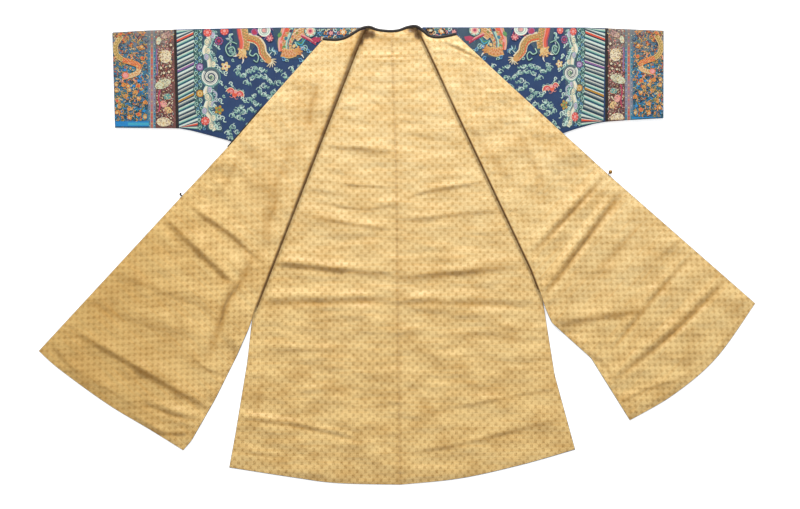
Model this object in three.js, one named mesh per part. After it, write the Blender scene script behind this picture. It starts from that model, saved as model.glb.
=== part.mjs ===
// A front-opening robe that lies open on its back, with both fronts folded outwards.
// Millimetres. X runs across the robe, Y from hem to neck, and Z up from the surface it lies on.
import * as THREE from 'three';

// Driving dimensions
const WALL = 1.0;
const GAP = 0.3;
const FOLD_RADIUS = 2.2;
const FOLD_STEPS = 4;
const EDGE_STEPS = 4;
const SETTLE_REACH = 42;
const FOLD_FADE = 70;
const ROW_SPACING = 48;
const BACK_ROW_SPACING = 58;
const HEM_STEPS = 12;
const BACK_SHARES = [0, 0.05, 0.12, 0.22, 0.34, 0.46, 0.58, 0.7, 0.85, 1];
const CREASE_HALF_WIDTH = 15;
const CURVE_REACH = 150;
const VENT_TACK = 42;
const DRAPE_MARGIN = 52;
const DRAPE_REACH = 46;
const BINDING = { halfWidth: 2.3, halfHeight: 1.4, sides: 8 };
const EDGING = { halfWidth: 1.4, halfHeight: 1.1, sides: 6 };
const LOOP_CORD = { halfWidth: 1.3, halfHeight: 1.3, sides: 6 };
const STRAP_CORD = { halfWidth: 1.6, halfHeight: 1.0, sides: 6 };
const BUTTON_RADIUS = 4.8;

// Heights of the cloths' middle faces, from the surface up
const LAYER = WALL + GAP;
const BACK_Z = WALL / 2;
const BACK_LINING_Z = BACK_Z + LAYER;
const FRONT_LINING_Z = BACK_LINING_Z + LAYER;
const FRONT_Z = FRONT_LINING_Z + LAYER;
const FLAP_Z = FRONT_Z + LAYER;
const FOLD_TOP_Z = FRONT_Z + 2 * FOLD_RADIUS;
const BODY_TOP = FRONT_Z + WALL / 2;
const FOLD_REACH = FOLD_RADIUS + LAYER + WALL / 2;

// A sleeve is a flattened tube as high as the body's layers.
const TUBE_RADIUS = BODY_TOP / 2 - WALL / 2;
const TUBE_INSET = BODY_TOP / 2;

// The binding's route round the neck, from the left front edge to the right one
const NECK_ROUTE = [
  { x: -185, y: 542, over: 1 },
  { x: -152, y: 540, over: 1 },
  { x: -127, y: 546, over: 1 },
  { x: -103, y: 560, over: 1 },
  { x: -88, y: 568.5, over: 1 },
  { x: -69, y: 572, over: 0.5 },
  { x: -48, y: 565, over: 0 },
  { x: -19, y: 562, over: 0 },
  { x: 5, y: 564, over: 0 },
  { x: 26, y: 571.5, over: 0.2 },
  { x: 48, y: 573.5, over: 0.9 },
  { x: 65, y: 562.5, over: 1 },
  { x: 80, y: 550.5, over: 1 },
  { x: 97, y: 546.5, over: 1 },
  { x: 118, y: 548, over: 1 },
  { x: 147, y: 554.5, over: 1 },
];

// Outlines of the two sides, seen from above. The fold runs from the neck to the top of the side vent.
const at = (x, y) => ({ x, y });
const LEFT = {
  side: -1,
  shoulderTop: 571.5,
  fold: [at(-78, 567), at(-364, -169)],
  ventEdge: [at(-400, -250), at(-455, -360), at(-514, -463), at(-535, -487)],
  frontEdge: [at(-187, 539), at(-338, 369), at(-408, 288), at(-538, 150), at(-896.5, -238)],
  neckEdge: [
    at(-78, 567), at(-92, 562.5), at(-112, 550.5), at(-130, 541), at(-152, 536.8), at(-187, 539),
  ],
  hem: [at(-535, -487), at(-617, -436), at(-725, -371), at(-845, -284), at(-896.5, -238)],
  sleeveSeam: [at(-300, 571.5), at(-307.5, 252)],
  sleeveHem: [at(-426, 289), at(-462, 299), at(-513, 312.5), at(-545, 318.5), at(-705, 320)],
  backVentEdge: [at(-375, -266), at(-405, -448), at(-420, -530)],
  backHem: [at(7.5, -573), at(-151, -569), at(-266, -554), at(-420, -530)],
  backNeck: [at(-14, 558.5), at(-46, 560.5), at(-64, 568), at(-80, 568.7), at(-300, 568.7)],
};
const RIGHT = {
  side: 1,
  shoulderTop: 571.9,
  fold: [at(50, 568), at(148, 354), at(333, -36), at(367.5, -126)],
  ventEdge: [at(387, -168), at(485, -256), at(582.5, -412)],
  frontEdge: [at(150, 551.5), at(292, 419), at(416, 305.5), at(534, 199), at(896.5, -119)],
  neckEdge: [at(50, 568), at(62, 560), at(78, 547.5), at(97, 543.3), at(119, 544.8), at(150, 551.5)],
  hem: [at(582.5, -412), at(692, -348), at(799, -256), at(896.5, -119)],
  sleeveSeam: [at(300, 571.9), at(300, 264)],
  sleeveHem: [at(415, 306), at(447, 317), at(491, 329.5), at(522, 335), at(569.5, 338.5), at(667, 344)],
  backVentEdge: [at(394.5, -297), at(446, -485)],
  backHem: [at(7.5, -573), at(157, -557.5), at(309, -524), at(446, -485)],
  backNeck: [at(-14, 558.5), at(4, 560.3), at(27, 568), at(45, 569.2), at(300, 569.2)],
};
const CENTRE_SEAM = [at(-14, 558.5), at(-2.5, 239), at(7.5, -573)];

// Creases across the fronts: how far down the fold edge and down the front edge each one starts and
// ends, how high it stands, and the part of the way across over which it shows
const FRONT_CREASES = {
  left: [
    { inner: 627, outer: 525, rise: 4.0, from: 0.04, to: 1.0 },
    { inner: 727, outer: 591, rise: 6.0, from: 0.05, to: 1.0 },
    { inner: 1020, outer: 962, rise: 6.5, from: 0.02, to: 1.0 },
    { inner: 1085, outer: 1016, rise: 3.0, from: 0.0, to: 0.45 },
  ],
  right: [
    { inner: 640, outer: 514, rise: 4.5, from: 0.06, to: 1.0 },
    { inner: 738, outer: 574, rise: 6.5, from: 0.05, to: 1.0 },
    { inner: 965, outer: 805, rise: 4.0, from: 0.1, to: 0.95 },
    { inner: 1035, outer: 926, rise: 6.5, from: 0.05, to: 1.0 },
  ],
};

// Soft folds that run beside the fold edge: how far in, where along it, and how high
const FRONT_COLUMNS = [0, 10, 24, 42, 60, 78];
const OUTER_COLUMNS = 5;
const UNDER_SHARES = [0.08, 0.5, 1];
const SIDE_FOLDS = {
  left: [{ column: 4, from: 130, to: 340, rise: 2.0 }, { column: 4, from: 640, to: 930, rise: 4.5 }],
  right: [{ column: 4, from: 230, to: 460, rise: 2.0 }],
};

// Creases across the back lining: how far down the centre seam and down the side each one lies, its
// height, and the part of the way from the centre over which it shows
const BACK_CREASES = {
  left: [
    { inner: 290, outer: 285, rise: 2.5, from: 0.0, to: 0.48 },
    { inner: 492, outer: 430, rise: 2.5, from: 0.0, to: 0.62 },
    { inner: 598, outer: 558, rise: 5.0, from: 0.0, to: 0.78 },
    { inner: 677, outer: 668, rise: 4.0, from: 0.0, to: 0.85 },
    { inner: 1040, outer: 962, rise: 3.0, from: 0.22, to: 0.97 },
  ],
  right: [
    { inner: 395, outer: 340, rise: 2.5, from: 0.05, to: 0.5 },
    { inner: 466, outer: 430, rise: 2.0, from: 0.05, to: 0.6 },
    { inner: 607, outer: 562, rise: 4.5, from: 0.0, to: 0.78 },
    { inner: 680, outer: 677, rise: 4.0, from: 0.0, to: 0.85 },
    { inner: 978, outer: 862, rise: 2.5, from: 0.35, to: 0.95 },
    { inner: 1062, outer: 952, rise: 3.5, from: 0.1, to: 0.95 },
  ],
};

// The parts of a sleeve from the body out: where each one ends at the top fold and at the lower seam
const SLEEVE_PARTS = {
  left: [
    { name: 'sleeve_left', cloth: 'blue', top: -552, bottom: -545.5 },
    { name: 'piping_left', cloth: 'black', top: -558, bottom: -552.5 },
    { name: 'patterned_band_left', cloth: 'brown', top: -603, bottom: -603 },
    { name: 'ribbon_left', cloth: 'ribbon', top: -622, bottom: -622 },
    { name: 'cuff_left', cloth: 'turquoise', top: -712, bottom: -705 },
  ],
  right: [
    { name: 'sleeve_right', cloth: 'blue', top: 520.5, bottom: 520.5 },
    { name: 'piping_right', cloth: 'black', top: 527.5, bottom: 527.5 },
    { name: 'patterned_band_right', cloth: 'brown', top: 569.5, bottom: 569.5 },
    { name: 'ribbon_right', cloth: 'ribbon', top: 589.5, bottom: 589.5 },
    { name: 'cuff_right', cloth: 'turquoise', top: 667, bottom: 666.5 },
  ],
};
const SLEEVE_TOP = {
  left: [at(-300, 571.5), at(-507, 567.5), at(-627, 564), at(-712, 559)],
  right: [at(300, 571.9), at(469, 571.5), at(522, 569.5), at(667, 563.5)],
};
const SLEEVE_STATIONS = 4;

// Fastenings
const FRONT_EDGING = [at(-337, 374), at(-372, 333), at(-408, 292), at(-432, 267)];
const NECK_LOOP = { x: 81.5, y: 564, halfLength: 9.5, halfWidth: 5.2, points: 12 };
const NECK_STRAP = [at(112, 568), at(117, 564), at(120.5, 558), at(121.5, 552.5)];
const FRONT_LOOP = [
  { x: -540, y: 149.2, z: 4.4 },
  { x: -542.6, y: 152, z: 3.6 },
  { x: -545, y: 155, z: 2 },
  { x: -543.6, y: 158.5, z: 1.5 },
];
const BUTTON_SEAT = { x: 528.6, y: 203.9, z: 4.6, slopeX: 0.67, slopeY: 0.742, reach: 7.6 };

const COLOURS = {
  blue: { color: 0x28436b, roughness: 0.55, metalness: 0 },
  damask: { color: 0xd9b469, roughness: 0.42, metalness: 0 },
  black: { color: 0x15120f, roughness: 0.5, metalness: 0 },
  brown: { color: 0x7a4a42, roughness: 0.6, metalness: 0 },
  ribbon: { color: 0x4f7f95, roughness: 0.6, metalness: 0 },
  turquoise: { color: 0x2f86a5, roughness: 0.55, metalness: 0 },
  gilt: { color: 0x9c7a35, roughness: 0.35, metalness: 0.9 },
};

const UP = new THREE.Vector3(0, 0, 1);
const robe = new THREE.Group();
robe.name = 'dragon_robe';

function add(name, geometry, cloth) {
  geometry.computeVertexNormals();
  const mesh = new THREE.Mesh(geometry, new THREE.MeshStandardMaterial(COLOURS[cloth]));
  mesh.name = name;
  robe.add(mesh);
}

// Small tools for lengths and curves
const clamp = (value) => Math.min(1, Math.max(0, value));
const mix = (a, b, t) => a + (b - a) * t;
const smooth = (value) => clamp(value) ** 2 * (3 - 2 * clamp(value));
const plan = (point) => new THREE.Vector2(point.x, point.y);

function straightEdge(points) {
  const edge = new THREE.CurvePath();
  for (let i = 1; i < points.length; i += 1) {
    edge.add(new THREE.LineCurve(plan(points[i - 1]), plan(points[i])));
  }
  return edge;
}

const smoothEdge = (points) => new THREE.SplineCurve(points.map(plan));
const along = (edge, distance) => edge.getPointAt(clamp(distance / edge.getLength()));

// A swelling that rises from nothing at one end and sinks to nothing at the other
function swell(position, from, to) {
  const t = clamp((position - from) / (to - from));
  return Math.sin(Math.PI * t) ** 0.6;
}

// A point of a cloth's middle face, with the way in which the next layer lies
const sample = (x, y, z, out) => ({ at: new THREE.Vector3(x, y, z), out });

// A closed wall between two offsets from the middle face. Each cell lists its corners in turn,
// anticlockwise as seen from the side that `out` points to.
function wall(cells, low, high) {
  const numbers = new Map();
  const corners = [];
  const number = (corner) => {
    if (!numbers.has(corner)) {
      numbers.set(corner, corners.length);
      corners.push(corner);
    }
    return numbers.get(corner);
  };
  const polygons = cells.map((cell) => cell.map(number));
  const positions = [low, high].flatMap((offset) => corners.flatMap(
    (corner) => corner.at.clone().addScaledVector(corner.out, offset).toArray(),
  ));
  const count = corners.length;
  const faces = [];
  const edges = new Set();
  for (const [a, b, c, d] of polygons) {
    faces.push(a + count, b + count, c + count, a + count, c + count, d + count);
    faces.push(a, c, b, a, d, c);
    for (const [from, to] of [[a, b], [b, c], [c, d], [d, a]]) {
      edges.add(`${from} ${to}`);
    }
  }
  for (const edge of edges) {
    const [from, to] = edge.split(' ').map(Number);
    if (!edges.has(`${to} ${from}`)) {
      faces.push(from, to, to + count, from, to + count, from + count);
    }
  }
  const geometry = new THREE.BufferGeometry();
  geometry.setAttribute('position', new THREE.Float32BufferAttribute(positions, 3));
  geometry.setIndex(faces);
  return geometry;
}

// The cells between neighbouring rows of samples
function cellsOf(rows, turned) {
  const cells = [];
  for (let i = 1; i < rows.length; i += 1) {
    for (let j = 1; j < rows[i].length; j += 1) {
      const cell = [rows[i - 1][j - 1], rows[i - 1][j], rows[i][j], rows[i][j - 1]];
      cells.push(turned ? cell.reverse() : cell);
    }
  }
  return cells;
}

// Lines across a panel: three for each crease, and more in between where they lie far apart
function linesAcross(creases, innerLength, outerLength, spacing) {
  const lines = [{ inner: 0, outer: 0, rise: 0 }];
  for (const crease of creases) {
    for (const step of [-1, 0, 1]) {
      const shift = step * CREASE_HALF_WIDTH;
      const rise = step === 0 ? crease.rise : 0;
      lines.push({ ...crease, inner: crease.inner + shift, outer: crease.outer + shift, rise });
    }
  }
  lines.push({ inner: innerLength, outer: outerLength, rise: 0 });
  const filled = [lines[0]];
  for (let i = 1; i < lines.length; i += 1) {
    const from = lines[i - 1];
    const to = lines[i];
    const count = Math.ceil(Math.max(to.inner - from.inner, to.outer - from.outer) / spacing);
    for (let step = 1; step < count; step += 1) {
      const t = step / count;
      filled.push({ inner: mix(from.inner, to.inner, t), outer: mix(from.outer, to.outer, t), rise: 0 });
    }
    filled.push(to);
  }
  return filled;
}

// One more line, where the inner or the outer edge has a corner of its own
function withLineAt(lines, edge, distance) {
  const next = lines.findIndex((line) => line[edge] > distance);
  const [from, to] = [lines[next - 1], lines[next]];
  const t = (distance - from[edge]) / (to[edge] - from[edge]);
  const crest = from.rise > 0 ? from : to;
  const between = (key) => mix(from[key], to[key], t);
  const line = { ...crest, inner: between('inner'), outer: between('outer'), rise: between('rise') };
  return [...lines.slice(0, next), line, ...lines.slice(next)];
}

// A panel's plan: its four edges, with the first and last ones curved
function planOf({ inner, outer, first, last }) {
  const bend = (edge, share) => edge.getPointAt(share).sub(
    edge.getPointAt(0).lerp(edge.getPointAt(1), share),
  );
  const innerLength = inner.getLength();
  return (line, share) => {
    const start = along(inner, line.inner);
    const point = start.lerp(along(outer, line.outer), share);
    const nearFirst = clamp(1 - line.inner / CURVE_REACH) ** 2;
    const nearLast = clamp(1 - (innerLength - line.inner) / CURVE_REACH) ** 2;
    point.addScaledVector(bend(first, share), nearFirst);
    return point.addScaledVector(bend(last, share), nearLast);
  };
}

// How far a point lies outside what carries a folded front: the sleeve and the body's side
function uncovered(cut, x, y) {
  const underarm = cut.sleeveSeam[1];
  const hem = [...cut.sleeveHem].reverse();
  const ventTop = cut.fold[cut.fold.length - 1];
  const border = [...hem, underarm, ventTop];
  let nearest = Infinity;
  let below = false;
  for (let i = 1; i < border.length; i += 1) {
    const from = plan(border[i - 1]);
    const span = plan(border[i]).sub(from);
    const reach = new THREE.Vector2(x, y).sub(from);
    const t = clamp(reach.dot(span) / span.lengthSq());
    const distance = reach.clone().addScaledVector(span, -t).length();
    if (distance < nearest) {
      nearest = distance;
      below = cut.side * span.cross(reach) > 0;
    }
  }
  return below ? nearest : 0;
}

const drape = (cut, x, y) => 1 - smooth((uncovered(cut, x, y) - DRAPE_MARGIN) / DRAPE_REACH);

// A front with its lining: the part that still lies on the back, the soft fold, and the flap
function frontOf(cut, creases, sideFolds) {
  const foldEdge = straightEdge(cut.fold);
  const foldLength = foldEdge.getLength();
  const foldEnd = foldLength - VENT_TACK;
  const slope = plan(cut.fold[cut.fold.length - 1]).sub(plan(cut.fold[0])).normalize();
  const outwards = new THREE.Vector2(slope.y, -slope.x).multiplyScalar(-cut.side);
  const innerEdge = straightEdge([...cut.fold, ...cut.ventEdge]);
  const frontEdge = straightEdge(cut.frontEdge);
  const seam = straightEdge([...cut.sleeveSeam, cut.fold[cut.fold.length - 1]]);
  const place = planOf({
    inner: innerEdge,
    outer: frontEdge,
    first: smoothEdge(cut.neckEdge),
    last: smoothEdge(cut.hem),
  });
  let lines = linesAcross(creases, innerEdge.getLength(), frontEdge.getLength(), ROW_SPACING);
  const seamReach = seam.getLength() - VENT_TACK;
  const underarmLine = (seam.curves[0].getLength() / seamReach) * foldEnd;
  for (const corner of [underarmLine, foldEnd, foldLength]) {
    lines = withLineAt(lines, 'inner', corner);
  }

  const flapRows = [];
  const foldRows = [];
  const underRows = [];
  for (const line of lines) {
    const folded = line.inner <= foldEnd;
    const start = place(line, 0);
    const width = start.distanceTo(place(line, 1));
    const inset = FOLD_REACH / width;
    const scale = Math.min(1, (0.62 * width) / FRONT_COLUMNS[FRONT_COLUMNS.length - 1]);
    const near = FRONT_COLUMNS.map((distance) => (distance * scale) / width);
    const step = (1 - near[near.length - 1]) / OUTER_COLUMNS;
    const shares = [...near];
    for (let i = 1; i <= OUTER_COLUMNS; i += 1) {
      shares.push(near[near.length - 1] + i * step);
    }
    const fade = 1 - smooth((line.inner - foldEnd) / FOLD_FADE);
    const flap = shares.map((share, column) => {
      const point = place(line, mix(inset * fade, 1, share));
      const settling = 1 - smooth((share * width) / SETTLE_REACH);
      const side = sideFolds.filter((fold) => fold.column === column).reduce(
        (sum, fold) => sum + fold.rise * swell(line.inner, fold.from, fold.to), 0,
      );
      const crease = line.rise > 0 ? line.rise * swell(share, line.from, line.to + 0.35) : 0;
      const lift = column === 0 ? 0 : Math.max(side, crease);
      const carried = mix(BACK_Z, FLAP_Z, drape(cut, point.x, point.y));
      const z = carried + (FOLD_TOP_Z - FLAP_Z) * settling * fade + lift;
      return sample(point.x, point.y, z, UP);
    });
    flapRows.push(flap);
    if (!folded) {
      continue;
    }
    const centre = flap[0].at;
    const bend = [];
    for (let i = 0; i <= FOLD_STEPS; i += 1) {
      const angle = Math.PI * (i / FOLD_STEPS - 0.5);
      const out = new THREE.Vector3(
        -outwards.x * Math.cos(angle), -outwards.y * Math.cos(angle), Math.sin(angle),
      );
      const at = out.clone().multiplyScalar(FOLD_RADIUS);
      bend.push(sample(centre.x + at.x, centre.y + at.y, FRONT_Z + FOLD_RADIUS + at.z, out));
    }
    bend[FOLD_STEPS] = flap[0];
    foldRows.push(bend);
    const seamPoint = along(seam, (line.inner / foldEnd) * seamReach);
    const under = [bend[0]];
    for (const share of UNDER_SHARES) {
      const x = mix(bend[0].at.x, seamPoint.x, share);
      const y = mix(bend[0].at.y, seamPoint.y, share);
      under.push(sample(x, y, FRONT_Z, bend[0].out));
    }
    underRows.push(under.reverse());
  }

  // The shoulder: the outer cloth goes on round the top edge and meets the back below.
  const shoulderY = cut.shoulderTop - TUBE_INSET;
  const shoulderRow = underRows[0].slice(0, -1);
  for (const corner of shoulderRow) {
    corner.at.y = shoulderY;
  }
  const shoulderRows = [shoulderRow];
  for (let i = 1; i <= EDGE_STEPS; i += 1) {
    const angle = Math.PI * (0.5 - i / EDGE_STEPS);
    const out = new THREE.Vector3(0, -Math.cos(angle), -Math.sin(angle));
    shoulderRows.unshift(shoulderRow.map((corner) => sample(
      corner.at.x,
      corner.at.y - TUBE_RADIUS * out.y,
      FRONT_Z - TUBE_RADIUS - TUBE_RADIUS * out.z,
      out,
    )));
  }
  const turned = cut.side > 0;
  const rows = [underRows, foldRows, flapRows].flatMap((part) => cellsOf(part, turned));
  return { lining: rows, outer: [...rows, ...cellsOf(shoulderRows, turned)] };
}

// The centre seam's edge on one side, with half a gap to the other half
const centreSeamOf = (cut) => CENTRE_SEAM.map((point) => at(point.x + (cut.side * GAP) / 2, point.y));

// The back lining of one side, from the centre seam to the side
function backLiningOf(cut, creases) {
  const ventTop = cut.fold[cut.fold.length - 1];
  const shoulder = { x: cut.sleeveSeam[0].x, y: cut.backNeck[cut.backNeck.length - 1].y };
  const inner = straightEdge(centreSeamOf(cut));
  const outer = straightEdge([shoulder, cut.sleeveSeam[1], ventTop, ...cut.backVentEdge]);
  const place = planOf({
    inner, outer, first: straightEdge(cut.backNeck), last: smoothEdge(cut.backHem),
  });
  let lines = linesAcross(creases, inner.getLength(), outer.getLength(), BACK_ROW_SPACING);
  let corner = 0;
  for (const stretch of outer.curves.slice(0, 2)) {
    corner += stretch.getLength();
    lines = withLineAt(lines, 'outer', corner);
  }
  const rows = lines.map((line) => BACK_SHARES.map((share) => {
    const point = place(line, share);
    const lift = line.rise > 0 ? line.rise * swell(share, line.from - 0.3, line.to) : 0;
    return sample(point.x, point.y, BACK_LINING_Z + lift, UP);
  }));
  return cellsOf(rows, cut.side > 0);
}

// The back's outer cloth, which lies flat on the surface
function backOf(cut) {
  const ventTop = cut.fold[cut.fold.length - 1];
  const [seamTop, seamMiddle, seamEnd] = centreSeamOf(cut);
  const hem = smoothEdge(cut.backHem).getPoints(HEM_STEPS).slice(1).reverse();
  const side = [cut.sleeveSeam[1], ventTop, ...cut.backVentEdge.slice(0, -1)];
  const outline = [seamTop, ...cut.backNeck.slice(1), ...side, ...hem, seamEnd, seamMiddle];
  const shape = new THREE.Shape(outline.map(plan));
  return new THREE.ExtrudeGeometry(shape, { depth: WALL, bevelEnabled: false });
}

// One part of a sleeve: a flattened tube between two lines across it
function tubeOf(topEdge, hemEdge, ends, stations) {
  const rings = [];
  for (let i = 0; i <= stations; i += 1) {
    const t = i / stations;
    const topX = mix(ends[0].top, ends[1].top, t);
    const bottomX = mix(ends[0].bottom, ends[1].bottom, t);
    const top = new THREE.Vector2(topX, heightAt(topEdge, topX));
    const bottom = new THREE.Vector2(bottomX, heightAt(hemEdge, bottomX));
    const down = bottom.clone().sub(top).normalize();
    const ring = [];
    for (const [centre, facing] of [[top, -1], [bottom, 1]]) {
      const middle = centre.clone().addScaledVector(down, -facing * TUBE_INSET);
      for (let step = 0; step <= EDGE_STEPS; step += 1) {
        const angle = Math.PI * (step / EDGE_STEPS - 0.5);
        const across = facing * Math.cos(angle);
        const out = new THREE.Vector3(down.x * across, down.y * across, -facing * Math.sin(angle));
        const x = middle.x + TUBE_RADIUS * out.x;
        const y = middle.y + TUBE_RADIUS * out.y;
        ring.push(sample(x, y, TUBE_INSET + TUBE_RADIUS * out.z, out));
      }
    }
    ring.push(ring[0]);
    rings.push(ring);
  }
  return rings;
}

// The height of an edge at a place across the robe
function heightAt(points, x) {
  for (let i = 1; i < points.length; i += 1) {
    const [from, to] = [points[i - 1], points[i]];
    const t = (x - from.x) / (to.x - from.x);
    if (t <= 1 || i === points.length - 1) {
      return mix(from.y, to.y, t);
    }
  }
  return points[0].y;
}

// A solid cord or flat braid with an oval section, along a route of points
function cordAlong(route, { halfWidth, halfHeight, sides }, closed = false) {
  const count = route.length;
  const positions = [];
  route.forEach((point, i) => {
    const before = route[closed ? (i + count - 1) % count : Math.max(i - 1, 0)];
    const after = route[closed ? (i + 1) % count : Math.min(i + 1, count - 1)];
    const ahead = after.clone().sub(before).normalize();
    const across = new THREE.Vector3().crossVectors(UP, ahead).normalize();
    const above = new THREE.Vector3().crossVectors(ahead, across);
    for (let side = 0; side < sides; side += 1) {
      const angle = (2 * Math.PI * side) / sides;
      const corner = point.clone()
        .addScaledVector(across, halfWidth * Math.cos(angle))
        .addScaledVector(above, halfHeight * Math.sin(angle));
      positions.push(...corner.toArray());
    }
  });
  const faces = [];
  const steps = closed ? count : count - 1;
  for (let i = 0; i < steps; i += 1) {
    const next = (i + 1) % count;
    for (let side = 0; side < sides; side += 1) {
      const beside = (side + 1) % sides;
      const [a, b] = [i * sides + side, i * sides + beside];
      const [c, d] = [next * sides + beside, next * sides + side];
      faces.push(a, b, c, a, c, d);
    }
  }
  if (!closed) {
    const last = (count - 1) * sides;
    for (let side = 1; side < sides - 1; side += 1) {
      faces.push(0, side + 1, side);
      faces.push(last, last + side, last + side + 1);
    }
  }
  const geometry = new THREE.BufferGeometry();
  geometry.setAttribute('position', new THREE.Float32BufferAttribute(positions, 3));
  geometry.setIndex(faces);
  return geometry;
}

const lifted = (points, z) => points.map((point) => new THREE.Vector3(point.x, point.y, z));

for (const [name, cut] of [['left', LEFT], ['right', RIGHT]]) {
  add(`back_${name}`, backOf(cut), 'blue');
  const half = WALL / 2;
  add(`back_lining_${name}`, wall(backLiningOf(cut, BACK_CREASES[name]), -half, half), 'damask');
  const front = frontOf(cut, FRONT_CREASES[name], SIDE_FOLDS[name]);
  add(`front_${name}`, wall(front.outer, -half, half), 'blue');
  add(`front_lining_${name}`, wall(front.lining, LAYER - half, LAYER + half), 'damask');

  const hemEdge = [cut.sleeveSeam[1], ...cut.sleeveHem];
  let start = { top: cut.sleeveSeam[0].x, bottom: cut.sleeveSeam[1].x };
  for (const part of SLEEVE_PARTS[name]) {
    const from = { top: start.top + cut.side * GAP, bottom: start.bottom + cut.side * GAP };
    const stations = part.name.startsWith('sleeve') ? SLEEVE_STATIONS : 1;
    const rings = tubeOf(SLEEVE_TOP[name], hemEdge, [from, part], stations);
    add(part.name, wall(cellsOf(rings, cut.side < 0), -half, half), part.cloth);
    start = part;
  }
}

// The neck binding climbs from the back onto the two folded fronts.
const bindingBase = BODY_TOP + GAP;
const neckRoute = new THREE.CatmullRomCurve3(NECK_ROUTE.map((point) => new THREE.Vector3(
  point.x, point.y, BINDING.halfHeight + bindingBase * point.over,
)));
const bindingPoints = neckRoute.getPoints(30);
for (const point of bindingPoints) {
  point.z = Math.max(point.z, BINDING.halfHeight);
}
add('neck_binding', cordAlong(bindingPoints, BINDING), 'black');

// The small trims lie on the shoulder's cloth, or on the surface beside the front edges.
const onShoulder = ({ halfHeight }) => BODY_TOP + GAP + halfHeight;
add('front_edging_left', cordAlong(lifted(FRONT_EDGING, onShoulder(EDGING)), EDGING), 'black');
const loopRoute = [];
for (let i = 0; i < NECK_LOOP.points; i += 1) {
  const angle = (2 * Math.PI * i) / NECK_LOOP.points;
  loopRoute.push(at(
    NECK_LOOP.x + NECK_LOOP.halfLength * Math.cos(angle),
    NECK_LOOP.y + NECK_LOOP.halfWidth * Math.sin(angle),
  ));
}
add('neck_loop', cordAlong(lifted(loopRoute, onShoulder(LOOP_CORD)), LOOP_CORD, true), 'black');
add('neck_strap', cordAlong(lifted(NECK_STRAP, onShoulder(STRAP_CORD)), STRAP_CORD), 'black');
const frontLoop = FRONT_LOOP.map(({ x, y, z }) => new THREE.Vector3(x, y, z));
add('front_loop', cordAlong(frontLoop, LOOP_CORD), 'black');

// The button hangs off the right front edge by a short shank, and its ball rests on the surface.
const beyondEdge = (distance) => new THREE.Vector3(
  BUTTON_SEAT.x + BUTTON_SEAT.slopeX * distance,
  BUTTON_SEAT.y + BUTTON_SEAT.slopeY * distance,
  BUTTON_SEAT.z,
);
const ballCentre = beyondEdge(BUTTON_SEAT.reach).setZ(BUTTON_RADIUS);
const ball = new THREE.SphereGeometry(BUTTON_RADIUS, 14, 10);
ball.rotateX(Math.PI / 2);
ball.translate(ballCentre.x, ballCentre.y, ballCentre.z);
add('button', ball, 'gilt');
const shank = [beyondEdge(GAP), beyondEdge(BUTTON_SEAT.reach - BUTTON_RADIUS - GAP)];
add('button_shank', cordAlong(shank, LOOP_CORD), 'black');

export default robe;
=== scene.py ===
"""A silk robe that lies open on its back, with both fronts folded outwards.

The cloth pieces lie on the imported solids. Plan sizes are in millimetres, as in the part's source,
and become metres when a mesh is made. X runs across the robe, Y from hem to neck and Z up from the
floor.
"""

import math
import random

import bmesh
import bpy
import numpy as np
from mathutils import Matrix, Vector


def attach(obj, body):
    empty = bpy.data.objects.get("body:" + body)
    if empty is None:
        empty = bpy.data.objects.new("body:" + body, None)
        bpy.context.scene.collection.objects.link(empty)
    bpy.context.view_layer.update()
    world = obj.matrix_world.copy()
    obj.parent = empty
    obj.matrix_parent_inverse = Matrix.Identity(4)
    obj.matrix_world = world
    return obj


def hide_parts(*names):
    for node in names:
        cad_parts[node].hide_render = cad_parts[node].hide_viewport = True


bl_info = {
    "name": "Folded-Open Silk Robe", "version": (1, 0, 0), "blender": (4, 5, 0),
    "location": "View3D > Sidebar > Robe",
    "description": "Cloth, linings, needlework, trims and stitching of a robe laid on its back",
    "category": "Add Mesh",
}

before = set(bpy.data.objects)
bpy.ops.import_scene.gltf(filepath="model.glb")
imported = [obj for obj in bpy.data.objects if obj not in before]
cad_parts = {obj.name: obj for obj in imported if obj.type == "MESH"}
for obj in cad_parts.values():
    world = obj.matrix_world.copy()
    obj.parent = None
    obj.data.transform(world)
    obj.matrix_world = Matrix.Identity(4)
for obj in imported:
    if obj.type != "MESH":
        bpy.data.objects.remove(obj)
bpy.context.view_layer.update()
MM = 0.001

# Heights of the cloths' middle faces, as in the part's source
WALL = 1.0
GAP = 0.3
LAYER = WALL + GAP
BACK_Z = WALL / 2
BACK_LINING_Z = BACK_Z + LAYER
FRONT_Z = BACK_LINING_Z + 2 * LAYER
FLAP_Z = FRONT_Z + LAYER
FOLD_RADIUS = 2.2
FOLD_TOP_Z = FRONT_Z + 2 * FOLD_RADIUS
FOLD_REACH = FOLD_RADIUS + LAYER + WALL / 2
BODY_TOP = FRONT_Z + WALL / 2
TUBE_RADIUS = BODY_TOP / 2 - WALL / 2
TUBE_INSET = BODY_TOP / 2
SETTLE_REACH = 42.0
FOLD_FADE = 70.0
CURVE_REACH = 150.0
VENT_TACK = 42.0
DRAPE_MARGIN = 52.0
DRAPE_REACH = 46.0

# Where the photograph's pixels lie on the robe, for the creases and the needlework
PHOTO_SCALE = 2.5
PHOTO_CENTRE = (397.0, 255.75)
PHOTO_SIZE = (800, 509)
# The way, in plan, that most of the light comes from
LIGHT_WAY = np.array([0.24, 0.97])

# Faces of the shells from the middle of their wall, in millimetres
SHELL_HALF = 0.48
BACK_UNDER = 0.5
LINING_TOP = 0.42
TUBE_INSIDE, TUBE_OUTSIDE, PIPING_OUTSIDE = -0.4, 0.49, 0.75
# Columns of a flap by their distance from the fold, and those of the part under it by their share
NEAR_FOLD = np.array([0, 2, 4, 6, 9, 12, 16, 20, 25, 30, 36, 43, 50, 58, 66, 74], float)
NEAR_SHARE = 0.62
UNDER_SHARES = np.array([0.04, 0.12, 0.3, 0.5, 0.7, 0.85, 1.0])[::-1]
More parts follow.
